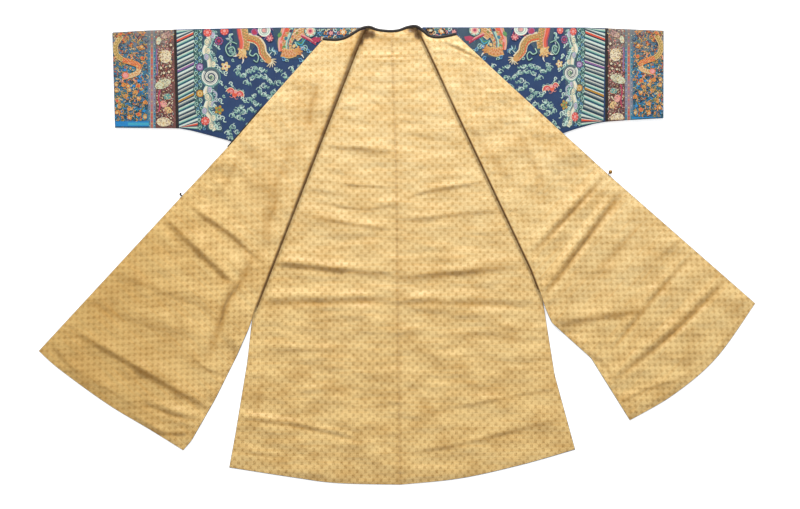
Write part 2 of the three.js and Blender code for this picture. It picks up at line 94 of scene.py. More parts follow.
# Where creases set in beside a fold, and how far inside an edge they reach their full height
OPEN_REACH = 16.0
EDGE_REACH = 14.0
LINING_APART = 0.02
# A crease's profile in half widths: the reach of a ridge on its lit and its turned side, the middle
# and reach of the painted shade on its side turned from the light, and the low swelling behind a
# valley
RIDGE_LIT, RIDGE_TURNED = 1.25, 0.55
RIDGE_SHADE, VALLEY_SHADE = (-0.46, 0.48), (0.15, 0.46)
VALLEY_BACK, VALLEY_START, VALLEY_END = 0.85, 0.8, 2.2

# The painted shade beside each fold reaches fold_dark millimetres at its lower end and fold_shade
# more at the neck
LEFT = {
    "side": -1, "fold_dark": 3.4, "fold_shade": 10.0, "shoulder_top": 571.5,
    "fold": [(-78, 567), (-364, -169)],
    "vent_edge": [(-400, -250), (-455, -360), (-514, -463), (-535, -487)],
    "front_edge": [(-187, 539), (-338, 369), (-408, 288), (-538, 150), (-896.5, -238)],
    "neck_edge": [
        (-78, 567), (-92, 562.5), (-112, 550.5), (-130, 541), (-152, 536.8), (-187, 539),
    ],
    "hem": [(-535, -487), (-617, -436), (-725, -371), (-845, -284), (-896.5, -238)],
    "sleeve_seam": [(-300, 571.5), (-307.5, 252)],
    "sleeve_hem": [(-426, 289), (-462, 299), (-513, 312.5), (-545, 318.5), (-705, 320)],
    "sleeve_top": [(-300, 571.5), (-507, 567.5), (-627, 564), (-712, 559)],
    "back_vent_edge": [(-375, -266), (-405, -448), (-420, -530)],
    "back_hem": [(7.5, -573), (-151, -569), (-266, -554), (-420, -530)],
    "back_neck": [
        (-14, 558.5), (-46, 562.5), (-58, 568.2), (-69, 571.4), (-82, 570), (-300, 568.7),
    ],
    "front_lines": [(627, 525), (727, 591), (1020, 962)],
    "back_lines": [(290, 285), (492, 430), (598, 558), (677, 668), (1040, 962)],
}
RIGHT = {
    "side": 1, "fold_dark": 1.3, "fold_shade": 0.5, "shoulder_top": 571.9,
    "fold": [(50, 568), (148, 354), (333, -36), (367.5, -126)],
    "vent_edge": [(387, -168), (485, -256), (582.5, -412)],
    "front_edge": [(150, 551.5), (292, 419), (416, 305.5), (534, 199), (896.5, -119)],
    "neck_edge": [(50, 568), (62, 560), (78, 547.5), (97, 543.3), (119, 544.8), (150, 551.5)],
    "hem": [(582.5, -412), (692, -348), (799, -256), (896.5, -119)],
    "sleeve_seam": [(300, 571.9), (300, 264)],
    "sleeve_hem": [(415, 306), (447, 317), (491, 329.5), (522, 335), (569.5, 338.5), (667, 344)],
    "sleeve_top": [(300, 571.9), (469, 571.5), (522, 569.5), (667, 563.5)],
    "back_vent_edge": [(394.5, -297), (446, -485)],
    "back_hem": [(7.5, -573), (157, -557.5), (309, -524), (446, -485)],
    "back_neck": [(-14, 558.5), (4, 561), (27, 570.9), (44, 573.2), (58, 570), (300, 569.2)],
    "front_lines": [(640, 514), (738, 574), (965, 805), (1035, 926)],
    "back_lines": [(395, 340), (466, 430), (607, 562), (680, 677), (978, 862), (1062, 952)],
}
SIDES = {"left": LEFT, "right": RIGHT}
CENTRE_SEAM = [(-14, 558.5), (-2.5, 239), (7.5, -573)]

# Sleeve parts from the body out: the part, its slot, and where it ends at the top fold and the hem
SLEEVE_PARTS = {
    "left": [
        ("sleeve", "blue_silk", -552, -545.5),
        ("piping", "black_satin", -558, -552.5),
        ("patterned_band", "brown_brocade", -603, -603),
        ("ribbon", "ribbon", -622, -622),
        ("cuff", "turquoise_brocade", -712, -705),
    ],
    "right": [
        ("sleeve", "blue_silk", 520.5, 520.5),
        ("piping", "black_satin", 527.5, 527.5),
        ("patterned_band", "brown_brocade", 569.5, 569.5),
        ("ribbon", "ribbon", 589.5, 589.5),
        ("cuff", "turquoise_brocade", 667, 666.5),
    ],
}

# Creases in photo pixels: route, height in mm (a ridge above zero, a pressed valley below), and
# half width in mm
BACK_CREASES = [
    ([(260, 260), (290, 262.4), (330, 266.5), (394, 271.6)], 8.5, 17),
    ([(291, 252), (322, 256.4)], 0.9, 4), ([(250, 304), (300, 303.5), (392, 302)], -5.6, 19),
    ([(396, 275.5), (440, 271.5), (518, 264)], 6.5, 17),
    ([(396, 303.5), (470, 304), (535, 307)], -4.4, 18),
    ([(326, 143.5), (360, 147), (393, 150)], 3.2, 13),
    ([(404, 197), (430, 189.5), (488, 180)], 3.2, 11),
    ([(296, 211), (340, 220), (392, 228.5)], 3.4, 13),
    ([(404, 219), (450, 213), (502, 208)], 2.6, 14), ([(335, 183), (392, 186.5)], 1.6, 8),
    ([(322, 201.5), (360, 208), (395, 203)], 1.8, 9),
    ([(238, 419.5), (300, 428), (362, 443)], -3.6, 11),
    ([(234, 450.5), (262, 456), (292, 459.6)], -2.6, 8),
    ([(412, 451.5), (470, 440), (569, 415)], 3.6, 12),
    ([(452, 407.5), (500, 397), (566, 386)], 2.4, 10),
    ([(380, 360), (386, 372), (383, 384)], 1.4, 7), ([(388, 432), (385, 447), (391, 462)], 2.0, 8),
    ([(402, 372), (420, 392), (448, 432)], 1.6, 13), ([(372, 98), (388, 110)], 1.4, 6),
    ([(380, 92), (392, 99)], 1.2, 5), ([(268, 330), (262, 380), (256, 430), (251, 466)], 0.7, 4),
    ([(549, 318), (553, 370), (559, 440)], 0.7, 4), ([(262, 352), (310, 347), (350, 352)], 1.5, 16),
    ([(420, 338), (470, 331), (528, 338)], 1.4, 16),
    ([(300, 390), (340, 384), (385, 391)], 1.6, 15),
    ([(256, 473), (340, 480), (396, 483), (470, 477)], 0.9, 6),
    ([(358, 57.2), (395, 57), (430, 55.4)], -1.8, 6),
    ([(393, 57), (393.3, 66), (393.5, 76)], -1.6, 5),
]
FRONT_CREASES = {
    "left": [
        ([(190, 202), (206, 215), (233, 233.5), (248, 247.5), (264, 262)], 5.8, 16),
        ([(198, 199), (220, 216.5), (246, 238)], -1.8, 6),
        ([(282, 184), (274, 210), (266, 238)], -3.4, 18),
        ([(167, 217), (200, 249), (241, 288)], 8.5, 19),
        ([(255, 256), (242, 282), (228, 302), (219, 332), (209, 357)], -5.4, 20),
        ([(78, 331), (120, 355), (165, 381), (212, 408)], 8.0, 18),
        ([(145, 406), (170, 415), (195, 421)], -5.0, 15),
        ([(134, 424), (165, 431), (192, 432)], 5.0, 13),
        ([(319, 78), (311, 104), (306, 132)], -3.8, 17),
        ([(288, 150), (276, 176), (270, 200)], 2.2, 16),
        ([(190, 352), (204, 366), (224, 374)], 2.4, 9),
        ([(92, 300), (140, 320), (186, 330)], 1.6, 18),
        ([(110, 268), (150, 284), (206, 306)], 1.3, 16),
        ([(52, 342), (66, 360), (90, 380)], 1.8, 10),
        ([(238, 150), (226, 178), (214, 196)], 1.5, 15),
        ([(58, 357), (110, 390), (160, 421), (184, 437)], 0.9, 5),
    ],
    "right": [
        ([(604, 179), (577, 208), (536, 251)], -4.8, 15),
        ([(623, 194), (590, 236), (545, 297)], -6.2, 17),
        ([(728, 280), (672, 335), (616, 380)], -6.0, 17),
        ([(640, 228), (618, 252), (596, 276)], -2.4, 22),
        ([(692, 257), (655, 298), (613, 350)], -3.4, 14),
        ([(560, 322), (604, 313.5), (652, 307)], 5.6, 18),
        ([(445, 44), (462, 52), (484, 61.5)], -3.6, 9),
        ([(616, 404), (642, 390), (690, 374)], 3.2, 9),
        ([(590, 352), (608, 366), (616, 384)], 2.6, 9),
        ([(650, 262), (676, 240), (690, 228)], 1.6, 16),
        ([(470, 118), (490, 150), (512, 176)], 1.8, 18),
        ([(520, 130), (536, 160), (548, 190)], 1.4, 20),
        ([(566, 286), (600, 270), (640, 262)], 1.5, 15),
        ([(749, 306), (720, 346), (700, 364), (640, 404)], 0.9, 5),
    ],
}

# Brown stains and painted shadow on the linings in photo pixels: place, half width, half height and
# depth
STAINS_AND_SHADOWS = [
    # Painted shadow in the hollows under the folded fronts at the neck, with the darker neck seams
    (366.5, 34, 5, 6, 1.5), (372, 34.5, 4.5, 5.5, 1.2), (361, 41, 3.4, 6, 1.2),
    (394, 56.7, 32, 1.3, 0.42), (386, 37, 15, 6.5, 0.46), (418, 33, 4.2, 7, 1.7),
    (393.5, 68, 1.6, 12, 0.6), (412, 30, 6, 4, 1.1), (433, 33, 3, 2, 0.4), (359, 36, 4, 6, 0.6),
    # The rest are stains and soft spots, and, along creases that run with the light, painted crease
    # shade
    (398, 320, 3, 26, 0.22), (399, 400, 3, 40, 0.2), (397, 270, 2, 30, 0.16),
    (258, 256, 8, 10, 0.16), (140, 300, 16, 7, 0.12), (236, 204, 9, 14, 0.14),
    (312, 84, 7, 16, 0.14), (628, 330, 14, 5, 0.12), (303, 112, 17, 26, 0.15),
    (150, 350, 34, 22, 0.1), (285, 171, 10, 6, 0.42), (517, 141, 5, 9, 0.16),
    (267, 226, 6, 22, 0.42), (350, 41, 5, 10, 0.4), (317, 98, 3.6, 11, 0.34),
    (308, 117, 4.4, 10, 0.42), (273, 194, 7, 14, 0.36), (256, 154, 20, 7, 0.26),
    (291, 148, 11, 8, 0.2), (262, 205, 30, 40, 0.13),
]

NECK_ROUTE = [
    (-185, 542, 1), (-152, 540, 1), (-127, 546, 1), (-103, 560, 1), (-88, 568.5, 1),
    (-69, 572, 0.5), (-48, 565, 0), (-19, 562, 0), (5, 564, 0), (26, 571.5, 0.2), (48, 573.5, 0.9),
    (65, 562.5, 1), (80, 550.5, 1), (97, 546.5, 1), (118, 548, 1), (147, 554.5, 1),
]
FRONT_EDGING = [(-336.6, 373), (-371.3, 332), (-407.2, 290.6), (-424, 272.7)]
NECK_LOOP = {"x": 81.5, "y": 564, "half_length": 9.5, "half_width": 5.2, "points": 28}
NECK_STRAP = [(112, 568), (117, 564), (120.5, 558), (121.5, 552.5)]
FRONT_LOOP = [
    (-537.5, 150.5, 4.2), (-540.5, 151.5, 3.6), (-542.6, 153.6, 2.6), (-541.6, 156, 2.0),
    (-539.4, 155.4, 2.0),
]
BUTTON_SEAT = {
    "x": 528.6, "y": 203.9, "z": 4.6, "slope": (0.67, 0.742), "reach": 7.6, "radius": 4.8,
}
CHASING = {"depth": 0.05, "rings": 6, "lobes": 8}
# Heights of the trims over what carries them, and the radius of the cord
BINDING = {"low": 1.4, "rise": 0.5}
EDGING_RISE, STRAP_RISE, CORD_RADIUS = 1.1, 1.0, 1.3
# Sewing: its height over the middle of a lining, and how far it lies from the centre seam
STITCH_LIFT, SEAM_HALF = 0.5, 1.6
# The seam of the piece let in at the neck, in photo pixels
NECK_PIECING = {
    "left": [(358, 57.2), (375, 57.4), (391, 56.8)],
    "right": [(394, 56.6), (410, 56), (430, 55.4)],
}


def from_photo(points):
    """Photo pixels as plan millimetres."""
    p = np.asarray(points, float)
    x = (p[..., 0] - PHOTO_CENTRE[0]) * PHOTO_SCALE
    y = (PHOTO_CENTRE[1] - p[..., 1]) * PHOTO_SCALE
    return np.stack([x, y], -1)


def smooth(value):
    t = np.clip(value, 0.0, 1.0)
    return t * t * (3 - 2 * t)


def through(points, steps):
    """A smooth line through points, with so many steps between each two."""
    p = np.asarray(points, float)
    p = np.vstack([p[:1], p, p[-1:]])
    t = np.linspace(0, 1, steps, endpoint=False)[:, None]
    made = []
    for i in range(1, len(p) - 2):
        a, b, c, d = p[i - 1], p[i], p[i + 1], p[i + 2]
        made.append(
            b + 0.5 * t * (c - a)
            + t**2 * (a - 2.5 * b + 2 * c - 0.5 * d)
            + t**3 * (1.5 * (b - c) + 0.5 * (d - a))
        )
    return np.vstack([*made, p[-1:]])


class Edge:
    """A line in plan, straight between its points or smooth through them."""

    def __init__(self, points, curved=False):
        self.points = through(points, 24) if curved else np.asarray(points, float)
        steps = np.linalg.norm(np.diff(self.points, axis=0), axis=1)
        self.marks = np.concatenate([[0.0], np.cumsum(steps)])
        self.length = self.marks[-1]

    def at(self, distance):
        d = np.clip(distance, 0, self.length)
        sides = range(self.points.shape[1])
        return np.stack([np.interp(d, self.marks, self.points[:, i]) for i in sides], -1)

    def share(self, share):
        return self.at(np.asarray(share) * self.length)


def moved(line, off):
    """A line moved to its left, for someone who goes along it."""
    ahead = np.gradient(line, axis=0)
    ahead /= np.linalg.norm(ahead, axis=1)[:, None]
    return line + np.stack([-ahead[:, 1], ahead[:, 0]], -1) * off


def nearest(points, route):
    """How far each plan point lies from a route, how far along it, and on which side."""
    best = np.full(points.shape[:-1], np.inf)
    along = np.zeros_like(best)
    side = np.ones_like(best)
    done = 0.0
    for start, end in zip(route[:-1], route[1:]):
        span = end - start
        reach = points - start
        t = np.clip((reach @ span) / (span @ span), 0, 1)
        off = reach - t[..., None] * span
        distance = np.hypot(off[..., 0], off[..., 1])
        closer = distance < best
        best = np.where(closer, distance, best)
        length = np.hypot(*span)
        along = np.where(closer, done + t * length, along)
        turn = span[0] * reach[..., 1] - span[1] * reach[..., 0]
        side = np.where(closer, np.sign(turn), side)
        done += length
    return best, along / done, side


def creased(points, creases, strength):
    """The height that the creases give the cloth at plan points, and the painted shade on their
    sides that are turned from the light. A ridge falls off steeply on the side that is turned from
    the light.
    A valley is pressed in between two swellings, because the cloth under it holds it up."""
    height, shade_and_soil = np.zeros((2, *points.shape[:-1]))
    for route, rise, half_width in creases:
        line = through(from_photo(route), 6)
        distance, along, side = nearest(points, line)
        span = line[-1] - line[0]
        turn = (span[0] * LIGHT_WAY[1] - span[1] * LIGHT_WAY[0]) / np.hypot(*span)
        signed = distance * side * np.sign(turn) / half_width
        near = np.abs(signed)
        fade = np.clip(np.sin(np.pi * np.clip(along * 0.96 + 0.02, 0, 1)), 0, 1) ** 0.55
        wander = 1 + 0.18 * np.sin(along * 17 + half_width) + 0.1 * np.sin(along * 41 + rise)
        if rise > 0:
            lit = np.exp(-((near / RIDGE_LIT) ** 1.5))
            turned_away = np.exp(-((near / RIDGE_TURNED) ** 2))
            middle, reach = RIDGE_SHADE
        else:
            lit = near**2 * np.exp(1 - near**2)
            turned_away = VALLEY_BACK * smooth(near / VALLEY_START) * np.exp(-near / VALLEY_END)
            middle, reach = VALLEY_SHADE
        form = np.where(signed > 0, lit, turned_away)
        # Painted shade: ochre along the side of each crease that is turned from the light
        crease_shade = np.exp(-(((signed - middle) / reach) ** 2))
        height = np.maximum(height, abs(rise) * strength * form * fade * wander)
        # Deeper for higher creases, and for those that run along the light, which the lamps leave
        # unshaded
        depth = min(1, 0.2 + abs(rise) / 7) * (0.82 - 0.3 * abs(turn))
        shade_and_soil = np.maximum(shade_and_soil, depth * crease_shade * fade)
    return height, shade_and_soil


def ripple(points, seed, height, reach, wide=1.0):
    """Low unevenness of cloth that has lain folded, never below nothing."""
    rng = random.Random(seed)
    points = points / (wide, 1.0)
    total = np.zeros(points.shape[:-1])
    for size in (1.0, 0.62, 0.36, 0.2):
        turn = rng.uniform(0, math.pi)
        way = np.array([math.cos(turn), math.sin(turn)]) / (reach * size)
        bend = np.array([-way[1], way[0]]) * 0.6
        phase = rng.uniform(0, 6)
        sway = 1.3 * np.sin(4 * (points @ bend) + phase)
        wave = np.sin(2 * math.pi * (points @ way) + phase + sway)
        total += wave * size
    return height * (total / 2.2 + 0.5).clip(0)


def stains_and_shadows(points):
    """Brown stains and painted shadow at plan points, from the soft spots of the photo."""
    toning = np.zeros(points.shape[:-1])
    for x, y, wide, tall, depth in STAINS_AND_SHADOWS:
        off = (points - from_photo([x, y])) / (wide * PHOTO_SCALE, tall * PHOTO_SCALE)
        toning = np.maximum(toning, np.minimum(depth * np.exp(-(off**2).sum(-1)), 1))
    return toning


def inside_edges(points, edges):
    """Nothing at the edges and one well inside them."""
    distance = np.min([nearest(points, np.array(edge, float))[0] for edge in edges], axis=0)
    return smooth(distance / EDGE_REACH)


def panel(inner, outer, first, last):
    """A panel's plan from its four edges, the first and the last one curved."""

    def bend(edge, share):
        line = edge.share(0) + (edge.share(1) - edge.share(0)) * share[..., None]
        return edge.share(share) - line

    def place(inner_reach, outer_reach, share):
        start = inner.at(inner_reach)[:, None]
        end = outer.at(outer_reach)[:, None]
        near_first = np.clip(1 - inner_reach / CURVE_REACH, 0, 1)[:, None, None] ** 2
        left = inner.length - inner_reach
        near_last = np.clip(1 - left / CURVE_REACH, 0, 1)[:, None, None] ** 2
        point = start + (end - start) * share[..., None]
        return point + bend(first, share) * near_first + bend(last, share) * near_last

    return place


def quads(rows):
    """Cells between neighbouring rows of point numbers."""
    a, b = rows[:-1, :-1], rows[:-1, 1:]
    c, d = rows[1:, 1:], rows[1:, :-1]
    return np.stack([a, b, c, d], -1).reshape(-1, 4)


def placed(name, data):
    """A new object in the scene, at the origin."""
    made = bpy.data.objects.new(name, data)
    bpy.context.scene.collection.objects.link(made)
    return made


def mesh_piece(name, points, faces, uv=None, paint=None, edge_angle=40, closed=True):
    """A mesh object in metres from points in millimetres. Paint is the name of a point attribute
    and its values. The faces of a closed piece are turned outwards."""
    mesh = bpy.data.meshes.new(name)
    mesh.from_pydata((np.asarray(points) * MM).tolist(), [], [list(f) for f in faces])
    mesh.validate()
    if uv is not None:
        corners = np.zeros(len(mesh.loops), np.int32)
        mesh.loops.foreach_get("vertex_index", corners)
        layer = mesh.uv_layers.new(name="Cloth")
        layer.data.foreach_set("uv", (np.asarray(uv)[corners] * MM).astype(np.float32).ravel())
    if paint is not None:
        colour = mesh.color_attributes.new(paint[0], "FLOAT_COLOR", "POINT")
        colour.data.foreach_set("color", np.asarray(paint[1], np.float32).ravel())
    if closed:
        work = bmesh.new()
        work.from_mesh(mesh)
        bmesh.ops.recalc_face_normals(work, faces=work.faces)
        work.to_mesh(mesh)
        work.free()
    mesh.polygons.foreach_set("use_smooth", [True] * len(mesh.polygons))
    mesh.set_sharp_from_angle(angle=math.radians(edge_angle))
    return placed(name, mesh)


def wall(name, points, out, cells, low, high, uv, toning=None):
    """A closed thin cloth between two offsets from its middle face."""
    count = len(points)
    corners = np.vstack([points + out * low, points + out * high])
    corners[:, 2] = np.maximum(corners[:, 2], 0.0)
    a = cells.ravel()
    b = np.roll(cells, -1, axis=1).ravel()
    inside = np.isin(a.astype(np.int64) * count + b, b.astype(np.int64) * count + a)
    a, b = a[~inside], b[~inside]
    rim = np.stack([a, b, b + count, a + count], -1)
    faces = np.vstack([cells + count, cells[:, ::-1], rim])
    # The lining's painted shade of folds and creases, and its stains, kept as a point attribute
    paint = None
    if toning is not None:
        shares = np.tile(np.clip(toning, 0, 1), 2)
        paint = ("ShadeAndWear", np.stack([shares, shares, shares, np.ones_like(shares)], -1))
    return mesh_piece(name, corners, faces.tolist(), np.vstack([uv, uv]), paint)


def uncovered(cut, points):
    """How far a point lies outside the sleeve and the body's side, which carry a folded front."""
    border = np.array([*reversed(cut["sleeve_hem"]), cut["sleeve_seam"][1], cut["fold"][-1]], float)
    distance, _, side = nearest(points, border)
    return np.where(side * cut["side"] > 0, distance, 0)


def carried(cut, points):
    """The height of a flap's middle face over what carries it."""
    drape = 1 - smooth((uncovered(cut, points) - DRAPE_MARGIN) / DRAPE_REACH)
    return BACK_Z + (FLAP_Z - BACK_Z) * drape


def with_grain(cut, points, folded_under):
    """The cloth's own plan, with its grain along the front edge, unfolded about the fold."""
    start, end = np.array(cut["fold"][0], float), np.array(cut["fold"][-1], float)
    way = (end - start) / np.linalg.norm(end - start)
    reach = points - start
    mirrored = start + 2 * (reach @ way)[:, None] * way - reach
    flat = np.where(folded_under[:, None], mirrored, points)
    grain = np.array(cut["front_edge"][-1], float) - np.array(cut["front_edge"][1], float)
    grain = -grain / np.linalg.norm(grain)
    across = np.array([grain[1], -grain[0]])
    reach = flat - np.array(cut["front_edge"][0], float)
    return np.stack([reach @ across, reach @ grain], -1)


def facing(cut, cells):
    """Cells turned the other way on the right half, so that they face out."""
    return cells[:, ::-1] if cut["side"] > 0 else cells


def front_samples(cut, name, sizes, inset, lifted):
    """Middle-face points of a front: the part on the back, the soft fold and the flap. A lifted one
    has the creases, and so has closer rows."""
    fold_edge = Edge(cut["fold"])
    fold_end = fold_edge.length - VENT_TACK
    slope = fold_edge.share(1) - fold_edge.share(0)
    slope = slope / np.linalg.norm(slope)
    outwards = np.array([slope[1], -slope[0]]) * -cut["side"]
    inner = Edge([*cut["fold"], *cut["vent_edge"]])
    outer = Edge(cut["front_edge"])
    place = panel(inner, outer, Edge(cut["neck_edge"], True), Edge(cut["hem"], True))
    reach = rows_down(inner, sizes, inset, inset, lifted)
    reach = np.unique(np.concatenate([reach, [fold_end]]))
    beside = across_from(reach, cut["front_lines"], inner, outer)

    edge_in = inner.at(reach)
    ends = place(reach, beside, np.ones((len(reach), 1)))[:, 0]
    widths = np.linalg.norm(ends - edge_in, axis=1)[:, None]
    scale = np.minimum(1, NEAR_SHARE * widths / NEAR_FOLD[-1])
    near_shares = NEAR_FOLD * scale / widths
    last = near_shares[:, -1:]
    steps = np.linspace(0, 1, sizes.flap_columns + 1)[1:]
    shares = np.hstack([near_shares, last + (1 - last) * steps])
    fade = (1 - smooth((reach - fold_end) / FOLD_FADE))[:, None]
    first = FOLD_REACH / widths * fade + inset / widths * (1 - fade)
    flap = place(reach, beside, first + (1 - inset / widths - first) * shares)
    from_fold = shares * widths
    settling = (1 - smooth(from_fold / SETTLE_REACH)) * fade
    z = carried(cut, flap) + (FOLD_TOP_Z - FLAP_Z) * settling
    # Painted shade along the fold: the lining is browned beside the fold, wider towards the neck
    down_fold = np.clip(reach / fold_end, 0, 1)[:, None]
    dark_reach = cut["fold_dark"] + cut["fold_shade"] * (1 - down_fold) ** 2.4
    toning = 0.9 * np.exp(-((from_fold / dark_reach) ** 2.2)) * fade
    if lifted:
        open_way = smooth(from_fold / OPEN_REACH)
        lift, shade_and_soil = front_rise(cut, name, flap, sizes)
        z = z + lift * (open_way + (1 - open_way) * (1 - fade))
        toning = np.maximum(toning, shade_and_soil)
    flap = np.dstack([flap, z])
    up = np.zeros_like(flap)
    up[..., 2] = 1

    rows = int((reach <= fold_end).sum())
    angle = np.linspace(-0.5, 0.5, sizes.fold_steps + 1) * math.pi
    bend_out = np.stack([*(-outwards[:, None] * np.cos(angle)), np.sin(angle)], -1)
    bend = np.zeros((rows, len(angle), 3))
    bend[..., :2] = flap[:rows, :1, :2]
    bend[..., 2] = FRONT_Z + FOLD_RADIUS
    bend += bend_out * FOLD_RADIUS
    bend_out = np.broadcast_to(bend_out, bend.shape)
    seam = Edge([*cut["sleeve_seam"], cut["fold"][-1]])
    seam_points = seam.at(reach[:rows] / fold_end * (seam.length - VENT_TACK))[:, None]
    under = np.zeros((rows, len(UNDER_SHARES), 3))
    under[..., :2] = bend[:, :1, :2] + (seam_points - bend[:, :1, :2]) * UNDER_SHARES[:, None]
    under[..., 2] = FRONT_Z
    under[0, :, 1] = cut["shoulder_top"] - TUBE_INSET
    down = np.zeros_like(under)
    down[..., 2] = -1

    folded_points = np.concatenate([under, bend[:, :-1], flap[:rows]], axis=1)
    folded_out = np.concatenate([down, bend_out[:, :-1], up[:rows]], axis=1)
    columns = folded_points.shape[1]
    hidden = columns - flap.shape[1]
    # The part under the fold and the round of the fold are painted fully brown, as painted shade
    fold_painted_shade = np.ones((rows, columns))
    fold_painted_shade[:, hidden:] = toning[:rows]
    numbers = np.arange(rows * columns).reshape(rows, columns)
    rest = flap[rows:].reshape(-1, 3)
    rest_numbers = numbers.size + np.arange(len(rest)).reshape(-1, flap.shape[1])
    joined = np.vstack([numbers[-1:, hidden:], rest_numbers])
    is_under = np.zeros(numbers.size + len(rest), bool)
    is_under[numbers[:, : len(UNDER_SHARES) + sizes.fold_steps // 2].ravel()] = True
    return {
        "points": np.vstack([folded_points.reshape(-1, 3), rest]),
        "out": np.vstack([folded_out.reshape(-1, 3), up[rows:].reshape(-1, 3)]),
        "cells": facing(cut, np.vstack([quads(numbers), quads(joined)])),
        "under": is_under, "shoulder": numbers[0, : len(UNDER_SHARES)],
        "toning": np.concatenate([fold_painted_shade.ravel(), toning[rows:].ravel()]),
    }


def rows_down(inner, sizes, first_inset, last_inset, lifted):
    """How far each row of points lies along a panel's inner edge."""
    rows = int(inner.length / (sizes.lining_step if lifted else sizes.cloth_step))
    return np.linspace(first_inset, inner.length - last_inset, rows)


def across_from(reach, lines, inner, outer):
    """Where each row ends on the outer edge, from the lines that the cut gives."""
    lines = np.array([(0, 0), *lines, (inner.length, outer.length)], float)
    return np.interp(reach, lines[:, 0], lines[:, 1])


def build_front(name, cut, sizes):
    """One front: its blue outer cloth with the shoulder, and its gold lining."""
    made = front_samples(cut, name, sizes, 0, False)
    points = [made["points"]]
    out = [made["out"]]
    shoulder = made["points"][made["shoulder"]]
    rings = [made["shoulder"]]
    uv = [with_grain(cut, made["points"][:, :2], made["under"])]
    for i in range(1, sizes.fold_steps + 1):
        angle = math.pi * (0.5 - i / sizes.fold_steps)
        way = np.array([0, -math.cos(angle), -math.sin(angle)])
        ring = shoulder.copy()
        ring[:, 1] = shoulder[:, 1] - TUBE_RADIUS * way[1]
        ring[:, 2] = FRONT_Z - TUBE_RADIUS - TUBE_RADIUS * way[2]
        rings.insert(0, sum(len(part) for part in points) + np.arange(len(ring)))
        points.append(ring)
        out.append(np.broadcast_to(way, ring.shape))
        uv.append(with_grain(cut, ring[:, :2], np.ones(len(ring), bool)))
    cells = np.vstack([made["cells"], facing(cut, quads(np.array(rings)))])
    outer = wall(
        f"front_cloth_{name}", np.vstack(points), np.vstack(out), cells, -SHELL_HALF, SHELL_HALF,
        np.vstack(uv),
    )
    dress(outer, LOOKS["blue_silk"], "blue_silk", f"front_{name}")
    made = front_samples(cut, name, sizes, sizes.lining_inset / MM, True)
    lining = wall(
        f"front_lining_cloth_{name}", made["points"], made["out"], made["cells"],
        LAYER - SHELL_HALF, LAYER + LINING_TOP,
        with_grain(cut, made["points"][:, :2], made["under"]), made["toning"],
    )
    dress(lining, LOOKS["gold_damask"], "gold_damask", f"front_lining_{name}")
    return outer, lining


def front_rise(cut, name, points, sizes):
    """How far creases and ripples lift a front's lining, and its painted crease shade, stains and
    painted shadow.
    """
    lift, shade_and_soil = creased(points, FRONT_CREASES[name], sizes.crease_strength)
    lift = lift + ripple(points, 5 + cut["side"], sizes.ripple_height, 110)
    lift = lift + ripple(points, 15 + cut["side"], sizes.ripple_height * 0.3, 34)
    edges = inside_edges(points, [cut["front_edge"], cut["hem"], cut["neck_edge"]])
    return lift * edges, np.maximum(shade_and_soil, stains_and_shadows(points))


def back_rise(cut, points, sizes):
    """How far creases, ripples and the seam's puckers lift the back lining, and its painted crease
    shade, darker seam, stains and painted shadow.
    """
    distance, along, side = nearest(points, np.array(cut["fold"], float))
    past_end = along >= 0.999
    bare = np.where(side * cut["side"] > 0, 0, smooth((distance - 7) / EDGE_REACH))
    bare = np.where(past_end, smooth(distance / EDGE_REACH), bare)
    lift, shade_and_soil = creased(points, BACK_CREASES, sizes.crease_strength)
    lift = lift + ripple(points, 3, sizes.ripple_height, 105, 1.7)
    lift = lift + ripple(points, 9, sizes.ripple_height * 0.3, 26, 2.6)
    seam = nearest(points, np.array(CENTRE_SEAM, float))[0]
    y = points[..., 1]
    lift = lift + 0.45 * np.exp(-seam / 8) * (1 + np.sin(y / 2.1 + np.sin(y / 13)))
    edges = inside_edges(points, [cut["back_vent_edge"], cut["back_hem"], cut["back_neck"]])
    shade_and_soil = np.maximum(shade_and_soil, 0.3 * np.exp(-seam / 4))
    return lift * bare * edges, np.maximum(shade_and_soil, stains_and_shadows(points))


def back_samples(cut, sizes, inset, lifted):
    """Middle-face points of one half of the back, from the centre seam to the side."""
    apart = cut["side"] * (LINING_APART if lifted else GAP / 2)
    inner = Edge([(x + apart, y) for x, y in CENTRE_SEAM])
    shoulder = (cut["sleeve_seam"][0][0], cut["back_neck"][-1][1])
    outer = Edge([shoulder, cut["sleeve_seam"][1], cut["fold"][-1], *cut["back_vent_edge"]])
    place = panel(inner, outer, Edge(cut["back_neck"]), Edge(cut["back_hem"], True))
    reach = rows_down(inner, sizes, 0, inset, lifted)
    beside = across_from(reach, cut["back_lines"], inner, outer)
    width = np.linalg.norm(inner.at(reach) - outer.at(beside), axis=1)[:, None]
    shares = np.linspace(0, 1, sizes.back_columns + 1) * np.ones((len(reach), 1))
    points = place(reach, beside, shares * (1 - inset / width))
    z = np.full(points.shape[:-1], BACK_LINING_Z if lifted else BACK_Z)
    # A lining carries the painted shade of its creases, with its darker seam, stains and painted
    # shadow
    toning = np.zeros_like(z)
    if lifted:
        lift, toning = back_rise(cut, points, sizes)
        z = z + lift
    points = np.dstack([points, z]).reshape(-1, 3)
    out = np.zeros_like(points)
    out[:, 2] = 1
    cells = facing(cut, quads(np.arange(len(points)).reshape(len(reach), -1)))
    return points, out, cells, points[:, :2] * np.array([cut["side"], 1]), toning.ravel()


def build_back(name, cut, sizes):
    """One half of the back: blue outer cloth below, gold lining above."""
    points, out, cells, uv, _ = back_samples(cut, sizes, 0, False)
    outer = wall(f"back_cloth_{name}", points, out, cells, -BACK_UNDER, SHELL_HALF, uv)
    dress(outer, LOOKS["blue_silk"], "blue_silk", f"back_{name}")
    points, out, cells, uv, toning = back_samples(cut, sizes, sizes.lining_inset / MM, True)
    lining = wall(
        f"back_lining_cloth_{name}", points, out, cells, -SHELL_HALF, LINING_TOP, uv, toning,
    )
    dress(lining, LOOKS["gold_damask"], "gold_damask", f"back_lining_{name}")
    return outer, lining


